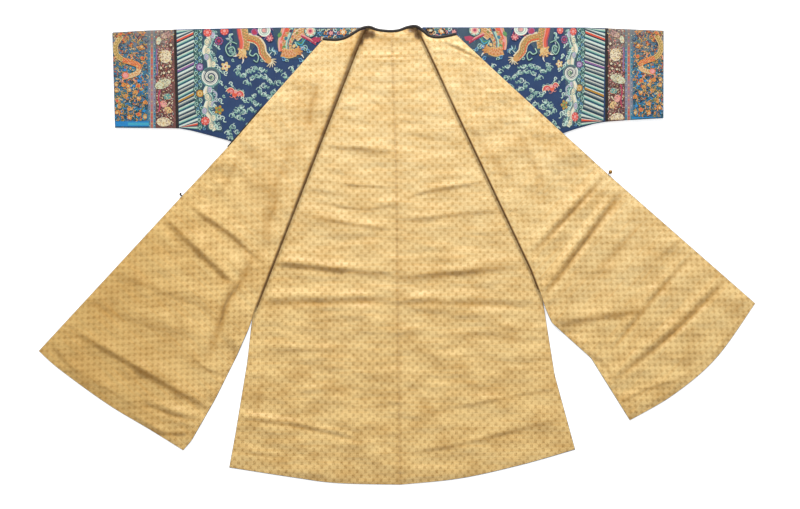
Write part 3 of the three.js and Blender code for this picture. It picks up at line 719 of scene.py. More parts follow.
def build_tube(name, cut, part, start, sizes):
    """One part of a sleeve: a flattened tube between two lines across it."""
    kind, cloth, top_end, hem_end = part
    side = cut["side"]
    top_edge = np.array(cut["sleeve_top"], float)
    hem_edge = np.array([cut["sleeve_seam"][1], *cut["sleeve_hem"]], float)
    near = (start[0] + side * GAP, start[1] + side * GAP)
    stations = max(2, int(abs(top_end - near[0]) / 5))
    angle = np.linspace(-0.5, 0.5, sizes.fold_steps + 1) * math.pi
    steps = np.linspace(0, 1, sizes.sleeve_columns + 1)[1:-1, None]
    rings, outs, uvs = [], [], []
    for i in range(stations + 1):
        t = i / stations
        top, hem = (
            np.array([x, height_at(edge, x)]) for x, edge in (
                (near[0] + (top_end - near[0]) * t, top_edge),
                (near[1] + (hem_end - near[1]) * t, hem_edge),
            )
        )
        down = (hem - top) / np.linalg.norm(hem - top)
        turns, ways = [], []
        for centre, facing_way in ((top, -1), (hem, 1)):
            middle = np.array([*(centre - down * facing_way * TUBE_INSET), TUBE_INSET])
            way = np.column_stack([
                np.outer(np.cos(angle), down) * facing_way, -facing_way * np.sin(angle),
            ])
            ways.append(way)
            turns.append(middle + TUBE_RADIUS * way)
        ring, ring_out = [], []
        for low, high, up in ((0, 1, 1), (1, 0, -1)):
            flat = turns[low][-1] + (turns[high][0] - turns[low][-1]) * steps
            ring += [turns[low], flat]
            ring_out += [ways[low], np.tile([0.0, 0.0, up], (len(flat), 1))]
        ring = np.vstack(ring)
        rings.append(ring)
        outs.append(np.vstack(ring_out))
        around = np.concatenate([[0], np.cumsum(np.linalg.norm(np.diff(ring, axis=0), axis=1))])
        uvs.append(np.stack([np.full(len(ring), t * abs(top_end - near[0])), around], -1))
    numbers = np.arange(len(rings) * len(rings[0])).reshape(len(rings), -1)
    cells = quads(np.hstack([numbers, numbers[:, :1]]))
    tube = wall(
        f"{kind}_cloth_{name}", np.vstack(rings), np.vstack(outs),
        cells[:, ::-1] if side < 0 else cells, TUBE_INSIDE,
        PIPING_OUTSIDE if kind == "piping" else TUBE_OUTSIDE, np.vstack(uvs),
    )
    return dress(tube, LOOKS[cloth], cloth, f"{kind}_{name}")


def height_at(points, x):
    """The height of an edge at a place across the robe."""
    order = np.argsort(points[:, 0])
    return float(np.interp(x, points[order, 0], points[order, 1]))


def cord(name, route, half_width, half_height, sides=10, closed=False):
    """A cord or a flat braid with an oval section along a route."""
    p = np.asarray(route, float)
    if closed:
        ahead = np.roll(p, -1, 0) - np.roll(p, 1, 0)
    else:
        ahead = np.gradient(p, axis=0)
    ahead /= np.linalg.norm(ahead, axis=1)[:, None]
    across = np.cross([0, 0, 1], ahead)
    across /= np.linalg.norm(across, axis=1)[:, None]
    above = np.cross(ahead, across)
    angle = 2 * math.pi * np.arange(sides) / sides
    rings = (
        p[:, None]
        + across[:, None] * np.cos(angle)[:, None] * half_width
        + above[:, None] * np.sin(angle)[:, None] * half_height
    )
    length = np.concatenate([[0], np.cumsum(np.linalg.norm(np.diff(p, axis=0), axis=1))])
    around = np.broadcast_to(angle * half_width, (len(p), sides))
    uv = np.dstack([np.broadcast_to(length[:, None], around.shape), around]).reshape(-1, 2)
    numbers = np.arange(rings.shape[0] * sides).reshape(-1, sides)
    ringed = np.hstack([numbers, numbers[:, :1]])
    if closed:
        ringed = np.vstack([ringed, ringed[:1]])
    faces = quads(ringed).tolist()
    if not closed:
        faces += [numbers[0].tolist(), numbers[-1].tolist()]
    return mesh_piece(name, rings.reshape(-1, 3), faces, uv, edge_angle=60)


def dress(piece, material, slot, *nodes):
    """Gives a piece its finish and its body, and hides the imported parts that it stands for."""
    piece.data.materials.clear()
    piece.data.materials.append(material)
    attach(piece, "root")
    if nodes:
        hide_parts(*nodes)
    return piece


def linear(colour):
    """A screen colour as the light values that a shader works with."""
    return tuple(c / 12.92 if c <= 0.04045 else ((c + 0.055) / 1.055) ** 2.4 for c in colour[:3])


def hexed(code):
    """Screen colour values from a six-figure code."""
    return tuple(int(code[i : i + 2], 16) / 255 for i in (0, 2, 4))


# Fixed colours of the finishes, as screen colours
TONES = {
    "tarnish_light": "D8B271", "tarnish_deep": "B98E4A", "left_shade_gold": "C0984F",
    "gold_streak": "DBA24C", "worn_grey": "77706A", "ribbon_blue": "26708A", "ribbon_red": "AE5346",
    "ribbon_check": "9A8466", "ribbon_line": "9DB0AA", "ribbon_faded": "8A7A84",
    "ribbon_grey": "6E6C68", "satin_light": "2B211C", "thread_shade": "80602C",
    "gilt_worn": "5A3A1C", "cuff_orange": "C9842F", "cuff_blue": "1E5F86", "band_tan": "A5836A",
    "band_plum": "5A3230",
}


def tone(name):
    return linear(hexed(TONES[name]))


def operator(operation, reflected=False):
    """A method of a wire that adds a Math node."""

    def apply(self, *others):
        values = (*others, self) if reflected else (self, *others)
        settings = {"operation": operation}
        return self.finish.node("ShaderNodeMath", settings, dict(enumerate(values)))

    return apply


class Wire:
    """A node's output that can stand in a sum."""

    __add__, __radd__ = operator("ADD"), operator("ADD", True)
    __sub__, __rsub__ = operator("SUBTRACT"), operator("SUBTRACT", True)
    __mul__, __rmul__ = operator("MULTIPLY"), operator("MULTIPLY", True)
    __truediv__, __pow__ = operator("DIVIDE"), operator("POWER")
    sin, fract = operator("SINE"), operator("FRACT")
    size, larger = operator("ABSOLUTE"), operator("MAXIMUM")

    def __init__(self, finish, socket):
        self.finish = finish
        self.socket = socket

    def ramp(self, start, end, low, high):
        """A soft passage from the low value at the start to the high one at the end."""
        return self.finish.node(
            "ShaderNodeMapRange", {"interpolation_type": "SMOOTHSTEP"},
            {0: self, 1: start, 2: end, 3: low, 4: high},
        )

    def clear_above(self, start, end):
        """One at the start, nothing at the end, and soft in between."""
        return self.ramp(start, end, 1.0, 0.0)


SOCKETS = {
    "roughness": "Roughness", "metallic": "Metallic", "specular": "Specular IOR Level",
    "sheen": "Sheen Weight", "sheen_roughness": "Sheen Roughness", "sheen_tint": "Sheen Tint",
    "glow": "Emission Strength",
}


class Finish:
    """A material with its nodes."""

    def __init__(self, name, **values):
        self.material = bpy.data.materials.new(name)
        self.material.use_nodes = True
        self.tree = self.material.node_tree
        self.surface = self.tree.nodes["Principled BSDF"]
        for socket, value in values.items():
            self.surface.inputs[SOCKETS[socket]].default_value = value

    def node(self, kind, settings=None, inputs=None, output=0):
        """Any node: its settings first, then the values or links of its sockets."""
        made = self.tree.nodes.new(kind)
        for key, value in (settings or {}).items():
            setattr(made, key, value)
        for key, value in (inputs or {}).items():
            self.feed(made.inputs[key], value)
        return Wire(self, made.outputs[output])

    def feed(self, socket, value):
        if isinstance(value, Wire):
            self.tree.links.new(value.socket, socket)
        elif isinstance(value, tuple) and len(value) == 3 and socket.type == "RGBA":
            socket.default_value = (*value, 1)
        else:
            socket.default_value = value

    def mix(self, share, a, b):
        return self.node("ShaderNodeMix", {"data_type": "RGBA"}, {0: share, 6: a, 7: b}, 2)

    def parts(self, both):
        """A vector, and its first two values."""
        first = self.node("ShaderNodeSeparateXYZ", {}, {0: both})
        return both, first, Wire(self, first.socket.node.outputs[1])

    def uv(self):
        """The cloth's own plan in metres: the vector, across, along."""
        return self.parts(self.node("ShaderNodeUVMap", {"uv_map": "Cloth"}))

    def place(self):
        """The object's own coordinates in metres: the vector, across, along."""
        return self.parts(self.node("ShaderNodeTexCoord", {}, {}, 3))

    def painted(self, name, output):
        """A point attribute of the mesh, as a colour or as a number."""
        return self.node("ShaderNodeAttribute", {"attribute_name": name}, {}, output)

    def noise(self, vector, scale, detail=3.0, roughness=0.55):
        inputs = {"Vector": vector, "Scale": scale, "Detail": detail, "Roughness": roughness}
        return self.node("ShaderNodeTexNoise", {}, inputs)

    def stretched(self, vector, x, y):
        return self.node("ShaderNodeMapping", {}, {0: vector, 3: (x, y, 1.0)})

    def finish(self, colour, roughness=None, height=None, strength=0.5, distance=0.0004):
        """The material, with its colour, roughness and relief."""
        self.feed(self.surface.inputs["Base Color"], colour)
        if roughness is not None:
            self.feed(self.surface.inputs["Roughness"], roughness)
        if height is not None:
            inputs = {"Strength": strength, "Distance": distance, "Height": height}
            self.feed(self.surface.inputs["Normal"], self.node("ShaderNodeBump", {}, inputs))
        return self.material


def ribs(across, pitch):
    """Even ribs, from minus one to one."""
    return (across * (2 * math.pi / pitch)).sin()


def weave(u, v, sizes):
    """The threads of a plain weave."""
    return ribs(u, sizes.weave_pitch) * ribs(v, sizes.weave_pitch)


def florets(finish, u, v, pitch, half, shift=0.0):
    """A mask of small four-lobed flowers on a half-drop lattice. Pitch and half sizes are across
    and along the cloth, in metres, and shift moves the lattice by a share of its pitch."""
    mask = None
    for drop in (shift, shift + 0.5):
        x = ((u / pitch[0] + drop + shift).fract() - 0.5) * (pitch[0] / half[0])
        y = ((v / pitch[1] + drop).fract() - 0.5) * (pitch[1] / half[1])
        reach = (x * x + y * y) ** 0.5
        turn = finish.node("ShaderNodeMath", {"operation": "ARCTAN2"}, {0: y, 1: x})
        lobes = reach * (1 + 0.22 * (turn * 4 + math.pi / 2).sin())
        flower = lobes.clear_above(0.62, 1.15)
        mask = flower if mask is None else mask.larger(flower)
    return mask


FLOWER_HALF, DOT_HALF, DOT_SHIFT = (0.0042, 0.0050), (0.0014, 0.0024), 0.25


def damask(colours, sizes):
    """Gold silk with a small darker flower woven on a half-drop lattice, with painted shade and
    some soiling in its creases, painted shade along its folds, and stains. It is deeper towards the
    hems, darker towards the left side as painted shade, and tarnished in patches."""
    made = Finish(
        "Gold damask", sheen=0.25, sheen_roughness=0.4, sheen_tint=(1.0, 0.74, 0.36, 1.0),
        specular=0.4,
    )
    uv, u, v = made.uv()
    spot, across, high = made.place()
    pitch = (sizes.lattice_across, sizes.lattice_along)
    cloudy = made.noise(spot, 6.0, 5.0, 0.6)
    patchy = made.noise(made.stretched(spot, 0.7, 1.0), 19.0, 4.0, 0.65)
    streaks = made.noise(made.stretched(uv, 3.0, 60.0), 3.0, 3.0)
    grain = made.noise(made.stretched(uv, 1.0, 0.6), 420.0, 2.0, 0.7)
    fine = made.noise(made.stretched(spot, 0.8, 1.5), 36.0, 5.0, 0.62)
    wrinkles = made.noise(made.stretched(spot, 0.45, 1.6), 22.0, 3.0, 0.5)
    flower = florets(made, u, v, pitch, FLOWER_HALF)
    dots = florets(made, u, v, pitch, DOT_HALF, DOT_SHIFT)
    # Painted shade: the lining is made deeper towards the left side, which the lamps light less
    far = across.ramp(-0.1, -0.8, 0.0, 0.62)
    low = (high - far + (cloudy - 0.5) * 0.3).ramp(0.52, -0.5, 0.0, 1.0)
    ground = made.mix(low, linear(colours.lining_light), linear(colours.lining_deep))
    pattern = made.mix(low, linear(colours.floret_light), linear(colours.floret_deep))
    tarnish = made.mix(low, tone("tarnish_light"), tone("tarnish_deep"))
    # Painted shade: a duller gold towards the left side
    ground = made.mix(across.ramp(-0.3, -0.8, 0.0, 0.6), ground, tone("left_shade_gold"))
    ground = made.mix(patchy.ramp(0.36, 0.74, 0.0, 0.6), ground, tarnish)
    ground = made.mix((streaks - 0.45).larger(0.0) * 1.3, ground, tone("gold_streak"))
    clear = patchy.ramp(0.3, 0.62, 0.7, 1.1) * grain.ramp(0.3, 0.7, 0.45, 1.3)
    shade = (flower * 0.56 + dots * 0.3) * clear + grain.ramp(0.46, 0.72, 0.0, 0.26)
    woven = made.mix(shade, ground, pattern)
    # The painted shade of folds and creases, and the stains, from a point attribute: ochre where
    # light and brown where deep
    toning = made.painted("ShadeAndWear", 2)
    brown = made.mix(toning.ramp(0.44, 0.85, 0.0, 1.0), linear(colours.shade_and_soil), linear(colours.shade_and_wear))
    shaded_and_soiled = made.mix(toning * (0.96 + 0.5 * (patchy - 0.5)), woven, brown)
    relief = flower * 0.2 + weave(u, v, sizes) * 0.05 + fine * 3.4 + wrinkles * 6.5
    return made.finish(shaded_and_soiled, 0.34 + 0.2 * flower + 0.18 * cloudy, relief, 0.6, 0.0009)


def blue_silk(colours, sizes):
    """Dark blue silk satin with a tone-on-tone unevenness."""
    made = Finish("Blue silk", sheen=0.2, sheen_roughness=0.35, specular=0.35)
    uv, u, v = made.uv()
    spot, _, _ = made.place()
    cloudy = made.noise(spot, 22.0, 4.0)
    streaks = made.noise(made.stretched(uv, 60.0, 4.0), 4.0, 2.0)
    swell = made.noise(spot, 9.0, 2.0) * 9.0
    share = 0.1 + 0.8 * cloudy + 0.3 * (streaks - 0.5)
    blue = made.mix(share, linear(colours.silk_deep), linear(colours.silk_light))
    relief = weave(u, v, sizes) * 0.08 + streaks * 0.6 + swell
    return made.finish(blue, 0.42 + 0.2 * cloudy, relief, 0.5, 0.0012)


def brocade(name, tones, sizes, scale):
    """A figured band: a ground with small scrolling figures in two more colours, greyed by use."""
    ground, second, third = tones
    made = Finish(name, sheen=0.2, specular=0.35)
    uv, u, v = made.uv()
    spot, _, high = made.place()
    wander = made.noise(uv, scale, 3.0)
    figure = (wander * 30.0).sin().size().clear_above(0.25, 0.5)
    other = made.noise(uv, scale * 1.7, 2.0).clear_above(0.42, 0.36)
    grey = (high + (made.noise(spot, 26.0) - 0.5) * 0.16).ramp(0.49, 0.55, 0.0, 0.75)
    mixed = made.mix(other * 0.7, made.mix(figure * 0.6, ground, second), third)
    relief = figure * 0.4 + weave(u, v, sizes) * 0.15
    toning = made.mix(grey, mixed, tone("worn_grey"))
    return made.finish(toning, 0.5 + 0.2 * wander, relief, 0.5, 0.0005)


def striped_ribbon(sizes):
    """Three narrow woven stripes, red between two blues, with pale lines between them. It has faded
    at the shoulder and over one stretch below the middle."""
    made = Finish("Woven ribbon", sheen=0.2, specular=0.35)
    _, u, v = made.uv()
    _, _, high = made.place()
    off_middle = (u / sizes.ribbon_width - 0.5).size()
    red = off_middle.clear_above(0.15, 0.17)
    pale = (off_middle - 0.185).size().clear_above(0.02, 0.045)
    checks = ribs(v, 0.009)
    faded = (high - 0.405).size().clear_above(0.025, 0.05) * 0.65
    colour = tone("ribbon_blue")
    for share, over in (
        (red, "ribbon_red"), ((checks * 0.5 + 0.5) * 0.3, "ribbon_check"),
        (pale * 0.6, "ribbon_line"), (faded, "ribbon_faded"),
        (high.ramp(0.5, 0.54, 0.0, 0.8), "ribbon_grey"),
    ):
        colour = made.mix(share, colour, tone(over))
    return made.finish(colour, 0.6 + 0.1 * checks, checks * 0.3 + pale, 0.4)


def satin(name, colour):
    """Black satin with a fine rib across it."""
    made = Finish(name, sheen=0.16, sheen_roughness=0.4, specular=0.4)
    uv, u, _ = made.uv()
    cloudy = made.noise(uv, 90.0, 3.0)
    black = made.mix(cloudy, linear(colour), tone("satin_light"))
    return made.finish(black, 0.38 + 0.2 * cloudy, ribs(u, 0.0016) * 0.25 + cloudy, 0.4)


def silk_thread(name, rough):
    """Floss in satin stitch. Its colour comes with each thread, and ribs follow the stitches."""
    made = Finish(name, sheen=0.35, sheen_roughness=0.3, specular=0.45)
    uv, u, _ = made.uv()
    tint = made.painted("Thread", 0)
    rib = ribs(u, 0.0007)
    shade = made.noise(uv, 240.0, 2.0)
    dark = made.node("ShaderNodeVectorMath", {"operation": "SCALE"}, {0: tint, 3: 0.62})
    colour = made.mix((0.33 + rib * 0.14) + (shade - 0.5) * 0.5, tint, dark)
    return made.finish(colour, rough + 0.12 * shade, rib, 0.45, 0.0003)


def sewing_thread(colours):
    """Plain silk thread in the colour of the woven flowers."""
    made = Finish("Sewing thread", roughness=0.6, sheen=0.2)
    shade = made.noise(made.place()[0], 300.0)
    return made.finish(made.mix(shade, linear(colours.floret_deep), tone("thread_shade")))


def gilt(colours):
    """Worn gilt brass, brown in small random patches."""
    made = Finish("Gilt brass", metallic=0.9, specular=0.5)
    toning = made.noise(made.place()[0], 700.0, 4.0)
    metal = made.mix(toning, linear(colours.gilt), tone("gilt_worn"))
    return made.finish(metal, 0.28 + 0.3 * toning, toning, 0.4)


def floor_white():
    """A pale matt floor with hardly any unevenness."""
    made = Finish("Pale floor", roughness=0.9, specular=0.1, glow=0.5)
    shade = made.noise(made.place()[0], 0.8, 2.0)
    return made.finish(made.mix(shade, (0.94, 0.94, 0.935), (0.97, 0.97, 0.97)))


# Thread colours of the needlework, as screen colours
THREADS = {
    "mint": "A4CDBB", "pale_mint": "CFE4D6", "sea": "5B978F", "pine": "1D4A48", "teal": "2A7488",
    "white": "E9E6D8", "cream": "E4D6B2", "straw": "DDBB7C", "grey": "8E9A94", "slate": "4C6068",
    "gold": "CC9552", "amber": "DB8A38", "ochre": "BA8A2E", "rust": "B8502C", "red": "D8453B",
    "vermilion": "E0583A", "pink": "E59A93", "crimson": "B02A50", "purple": "8D639A",
    "plum": "46284C", "navy": "17284A", "sky": "5E9CCB", "green": "5E9050", "olive": "8A8440",
    "brown": "5A3A33", "cyan": "3FA7C4", "bright_blue": "1C86C8", "dusk": "28465C",
    "lilac": "B9AFC6", "band_pink": "B08A80", "shell": "CFD2B2",
}


def arc(x, y, reach, start, end, count=12, squash=1.0, tilt=0.0):
    """Points of an arc, angles in turns."""
    a = 2 * math.pi * np.linspace(start, end, count)
    p = np.stack([reach * np.cos(a), reach * squash * np.sin(a)], -1)
    return turned(p, tilt) + (x, y)


def curl(x, y, reach, start, turns, way=1, inner=0.2, count=13):
    """Points of a spiral that winds in to its heart."""
    t = np.linspace(0, 1, count)
    a = 2 * math.pi * (start + way * turns * t)
    r = reach * (1 - (1 - inner) * t)
    return np.stack([x + r * np.cos(a), y + r * np.sin(a)], -1)


def turned(points, tilt):
    a = 2 * math.pi * tilt
    p = np.asarray(points, float)
    return p @ np.array([[math.cos(a), math.sin(a)], [-math.sin(a), math.cos(a)]])


def under_flap(cut, points):
    """How far plan points lie inside the edge of the folded front that covers them."""
    border = np.array([*cut["neck_edge"], *cut["front_edge"][1:]], float)
    distance, _, side = nearest(points, border)
    return np.where(side * cut["side"] < 0, distance, 0)


# How far the needlework stops inside a sleeve's end, top and hem, and how deep under the flap it
# lies lower and flatter
END_MARGIN, TOP_MARGIN, HEM_MARGIN = 1.5, 2.2, 2.6
FLAP_COVER, FLAP_LOWERED, FLAP_RISE = 1.5, 1.2, 1.0


class Needlework:
    """Threads and filled shapes on a sleeve, in photo pixels, each laid a little above the last."""

    def __init__(self, cut, sizes):
        self.cut = cut
        self.to_plan = from_photo if cut["side"] < 0 else to_right
        self.rise = sizes.stitch_rise / MM
        self.step = sizes.stitch_order / MM
        self.plans, self.heights, self.faces, self.tints, self.uvs = [], [], [], [], []
        self.count = 0
        self.order = 0

    def keep(self, plan, height, faces, tint, uv):
        code = THREADS.get(tint, tint)
        self.plans.append(plan)
        self.heights.append(height)
        self.faces += [[i + self.count for i in face] for face in faces]
        self.tints.append(np.tile((*linear(hexed(code)), 1.0), (len(plan), 1)))
        self.uvs.append(uv)
        self.count += len(plan)

    def next_height(self):
        self.order += 1
        return self.rise + self.order * self.step

    def covered(self, plan):
        """Whether the folded front hides all of a shape."""
        return under_flap(self.cut, plan.mean(0)[None])[0] > np.ptp(plan, axis=0).max()

    def thread(self, points, width, tint, taper=0.0):
        """A line of satin stitch, so many pixels wide. Taper is the share lost to its end."""
        plan = self.to_plan(np.asarray(points, float))
        if self.covered(plan):
            return
        count = len(plan)
        ahead = np.gradient(plan, axis=0)
        ahead /= np.linalg.norm(ahead, axis=1)[:, None] + 1e-9
        across = np.stack([-ahead[:, 1], ahead[:, 0]], -1)
        half = width * PHOTO_SCALE / 2 * (1 - taper * np.linspace(0, 1, count))[:, None]
        right, left = plan - across * half, plan + across * half
        top = self.next_height()
        numbers = np.arange(count * 4).reshape(4, count).T
        faces = quads(numbers)[:, ::-1].tolist()
        faces += [numbers[0].tolist()[::-1], numbers[-1].tolist()]
        length = np.concatenate([[0], np.cumsum(np.linalg.norm(np.diff(plan, axis=0), axis=1))])
        edge = np.repeat([-1.0, -1.0, 1.0, 1.0], count) * np.tile(half[:, 0], 4)
        uv = np.stack([np.tile(length, 4), edge], -1)
        plans = np.concatenate([right, right, left, left])
        self.keep(plans, np.repeat([0, top, top, 0], count), faces, tint, uv)

    def patch(self, outline, tint, slant=0.12):
        """A filled shape whose stitches lie at a slant."""
        plan = self.to_plan(np.asarray(outline, float))
        if self.covered(plan):
            return
        x, y = plan.T
        if x @ np.roll(y, -1) < y @ np.roll(x, -1):
            plan = plan[::-1]
        count = len(plan)
        ring = list(range(count))
        faces = [[i + count for i in ring]]
        faces += [[i, (i + 1) % count, (i + 1) % count + count, i + count] for i in ring]
        plans = np.concatenate([plan, plan])
        heights = np.repeat([0, self.next_height()], count)
        self.keep(plans, heights, faces, tint, turned(plans, slant))

    def disc(self, x, y, reach, tint, squash=1.0, tilt=0.0, count=12):
        self.patch(arc(x, y, reach, 0, 1 - 1 / count, count, squash, tilt), tint)

    def fleck(self, x, y, reach, tint, tilt=0.0, squash=0.6):
        """A short satin stitch."""
        self.disc(x, y, reach, tint, squash, tilt, 6)

    def scroll(self, x, y, reach, start, turns, width, tint, taper=0.2, way=1):
        """A curl of satin stitch."""
        self.thread(curl(x, y, reach, start, turns, way), width, tint, taper)

    def lines(self, route, rows):
        """Lines side by side: how far each is off the route, how wide, its colour and its taper."""
        for off, width, tint, taper in rows:
            self.thread(moved(through(route, 5), off), width, tint, taper)

    def finish(self, name, slot):
        """One mesh of all the work, drawn back inside the sleeve's edges."""
        plan = np.vstack(self.plans)
        cut, side = self.cut, self.cut["side"]
        top = np.array(cut["sleeve_top"], float)
        hem = np.array([cut["sleeve_seam"][1], *cut["sleeve_hem"]], float)
        ends = np.array([cut["sleeve_hem"][-1], cut["sleeve_top"][-1]], float)
        end = np.interp(plan[:, 1], ends[:, 1], side * ends[:, 0]) - END_MARGIN
        plan[:, 0] = side * np.minimum(side * plan[:, 0], end)
        high = np.interp(plan[:, 0] * side, top[:, 0] * side, top[:, 1]) - TOP_MARGIN
        low = np.interp(plan[:, 0] * side, hem[:, 0] * side, hem[:, 1]) + HEM_MARGIN
        plan[:, 1] = np.clip(plan[:, 1], low, high)
        hidden = under_flap(cut, plan) > FLAP_COVER
        base = BODY_TOP - hidden * FLAP_LOWERED
        rise = np.concatenate(self.heights)
        rise = np.where(hidden, np.minimum(rise, FLAP_RISE), rise)
        made = mesh_piece(
            name, np.column_stack([plan, base + rise]), self.faces, np.vstack(self.uvs),
            ("Thread", np.vstack(self.tints)), 50, False,
        )
        return dress(made, LOOKS["thread"], slot)


def cloud(work, spots, reach=2.8):
    """A bank of cloud: at each spot two hooks, and a wavy double line that runs on to the next."""
    wave = np.array([(0, 0), (0.22, -0.3), (0.45, 0.12), (0.7, -0.26), (1.0, 0.1)])
    for i, (x, y) in enumerate(spots):
        ahead = np.array(spots[(i + 1) % len(spots)]) - (x, y)
        span, turn = float(np.linalg.norm(ahead)), math.atan2(ahead[1], ahead[0]) / (2 * math.pi)
        if span >= 9:
            span, turn = 5.5, 0.04
        way = 1 if i % 2 else -1
        size = reach * (1.0 - 0.12 * (i % 3))
        start = 0.13 + 0.37 * i
        line = turned(through(wave * (span, way * span), 4), turn) + (x, y)
        a = 2 * math.pi * (start + way * 0.31)
        knob_x, knob_y = x + size * 1.25 * math.cos(a), y + size * 1.1 * math.sin(a)
        for route, width, tint in (
            (line, 1.6, "dusk"), (line, 0.72, "mint"), (line + (0.3, 1.3), 0.5, "sea"),
            (arc(x, y, size, start, start + way * 0.62, 9), 0.78, "pale_mint" if i % 3 else "mint"),
            (arc(x, y, size * 0.52, start + 0.3, start + 0.3 + way * 0.6, 7), 0.55, "mint"),
            (arc(knob_x, knob_y, size * 0.45, start, start - way * 0.7, 7), 0.55, "pale_mint"),
        ):
            work.thread(route, width, tint, 0.3)


def spray(work, x, y, size):
    """A squiggle of foam."""
    line = through([(0, 0), (0.8, -1.3), (2.1, -0.6), (1.5, 0.9), (2.9, 1.4)], 3) * size
    work.thread(line + (x, y), 0.95, "pale_mint", 0.3)
    work.thread(line * 0.7 + (x + 1, y + 1.2), 0.6, "mint", 0.3)


def flower(work, x, y, size, petals, tints):
    """A small open flower with two rings of petals."""
    for ring, (reach, tint) in enumerate(zip((1.0, 0.62), tints)):
        for i in range(petals):
            a = 2 * math.pi * (i + ring * 0.5) / petals
            px, py = x + size * reach * 0.62 * math.cos(a), y + size * reach * 0.62 * math.sin(a)
            work.disc(px, py, size * reach * 0.46, tint, 0.75, a / (2 * math.pi), 7)
    work.disc(x, y, size * 0.26, tints[-1], 1.0, 0.0, 7)


def rose(work, x, y, rings):
    """A round blossom in rings of colour, from the outside in."""
    for reach, tint in rings:
        work.disc(x, y, reach, tint, count=13)
    for i in range(7):
        a = 2 * math.pi * i / 7
        reach = rings[0][0] * 0.72
        work.fleck(x + reach * math.cos(a), y + reach * math.sin(a), 0.9, rings[-1][1], a / 6.28)


def bat(work, x, y, size, tilt):
    """A bat with spread scalloped wings, red over pink, in a pale outline."""
    wing = np.array([
        (0.15, 0.1), (0.45, -0.6), (1.0, -0.95), (1.65, -0.85), (2.1, -0.3), (2.2, 0.35),
        (1.85, 0.0), (1.6, 0.5), (1.25, 0.1), (1.0, 0.62), (0.7, 0.2), (0.4, 0.6),
    ])
    for side in (-1, 1):
        for scale, tint in ((1.16, "cream"), (0.96, "red"), (0.55, "pink")):
            shape = (wing - (1.1, -0.1)) * scale + (1.1, -0.1)
            work.patch(turned(shape * (side, 1), tilt) * size + (x, y), tint)
        for bone in (
            [(0.2, 0.1), (0.9, -0.55), (1.85, 0.0)], [(0.2, 0.2), (0.8, -0.1), (1.25, 0.1)],
        ):
            line = turned(through(bone, 5) * (side, 1), tilt) * size + (x, y)
            work.thread(line, 0.55, "crimson", 0.4)
    for (bx, by), reach, tint in (((0, 0.35), 0.62, "vermilion"), ((0, -0.42), 0.42, "pink")):
        spot = turned([(bx, by)], tilt)[0] * size + (x, y)
        work.disc(*spot, reach * size, tint, 1.25, tilt, 9)
    for side in (-1, 1):
        ear = turned(
            through([(0.15 * side, -0.6), (0.4 * side, -1.1), (0.9 * side, -1.3)], 4), tilt,
        )
        work.thread(ear * size + (x, y), 0.6, "mint", 0.4)
        tail = turned(through([(0.1 * side, 0.8), (0.5 * side, 1.3), (1.1 * side, 1.1)], 4), tilt)
        work.thread(tail * size + (x, y), 0.6, "pink", 0.4)


def limb(work, route, width, edge, ground, scales, taper=0.0, step=1.5):
    """A dragon's body or leg: an edged band with rows of small scales across it."""
    line = Edge(through(route, 8))
    spots = line.share(np.linspace(0, 1, max(6, int(line.length / 1.5))))
    work.thread(spots, width + 1.7, edge, taper)
    work.thread(spots, width, ground, taper)
    rows = int(line.length / step)
    for i in range(rows):
        share = (i + 0.5) / rows
        here = line.share(share)
        ahead = line.share(min(1, share + 0.04)) - line.share(max(0, share - 0.04))
        turn = math.atan2(ahead[1], ahead[0]) / (2 * math.pi)
        reach = width / 2 * (1 - taper * share)
        lanes = max(1, round(reach / 1.15))
        for lane in range(-lanes, lanes + 1):
            shift = (lane + 0.5 * (i % 2)) * reach / (lanes + 0.5)
            if abs(shift) < reach * 0.95:
                spot = here + turned([(0, shift)], turn)[0]
                tint = scales[(2 * i + lane) % len(scales)]
                work.thread(arc(*spot, step * 0.6, turn - 0.22, turn + 0.22, 4), 0.62, tint)




def paw(work, x, y, way, size, tint="straw"):
    """A spread paw: thick toes, dark between them, each with a pale curved claw."""
    work.disc(x, y, size * 0.46, tint, 1.0, 0.0, 10)
    for i, spread in enumerate((-0.2, -0.1, 0.0, 0.1, 0.3)):
        toe = turned([(0, 0), (size * 0.4, 0.1), (size * 0.7, 0.0)], way + spread)
        claw = arc(0, 0, size * 0.62, 0, 0.13 if i % 2 else -0.13, 6)
        claw = turned(claw - claw[0], way + spread - 0.25) + toe[-1] + (x, y)
        work.thread(claw, 1.5, "white", 0.7)
        work.thread(toe + (x, y), 2.3, tint, 0.25)
        work.thread(toe + (x, y), 0.7, "rust" if i % 2 else "amber", 0.4)
        if i < 4:
            gap = turned([(size * 0.62, 0.0)], way + spread + 0.05)[0]
            work.disc(*(gap + (x, y)), 0.85, "plum", 1.0, 0.0, 7)


def locks(work, x, y, way, size, tints, width=0.9):
    """Locks of hair or flames that stream from one place."""
    for i, tint in enumerate(tints):
        a = way + (i - len(tints) / 2) * 0.045
        lock = through([
            (0, 0), (size * 0.4, 0.25 * size), (size * 0.75, -0.1 * size),
            (size * 1.05, 0.2 * size),
        ], 4)
        work.thread(turned(lock, a) + (x, y), width, tint, 0.6)


def pearl(work, x, y, reach):
    """A pearl in rings of pale silk with small flames about it."""
    for i in range(8):
        locks(work, x, y, i / 8, reach * 1.45, ("crimson", "plum") if i % 2 else ("purple",), 1.2)
    for share, tint in (
        (1.08, "white"), (0.86, "mint"), (0.7, "white"), (0.5, "grey"), (0.36, "pink"),
    ):
        work.disc(x, y, reach * share, tint, 1.0, 0.0, 16)
    work.thread(curl(x, y, reach * 0.6, 0.1, 1.1), 0.6, "grey")


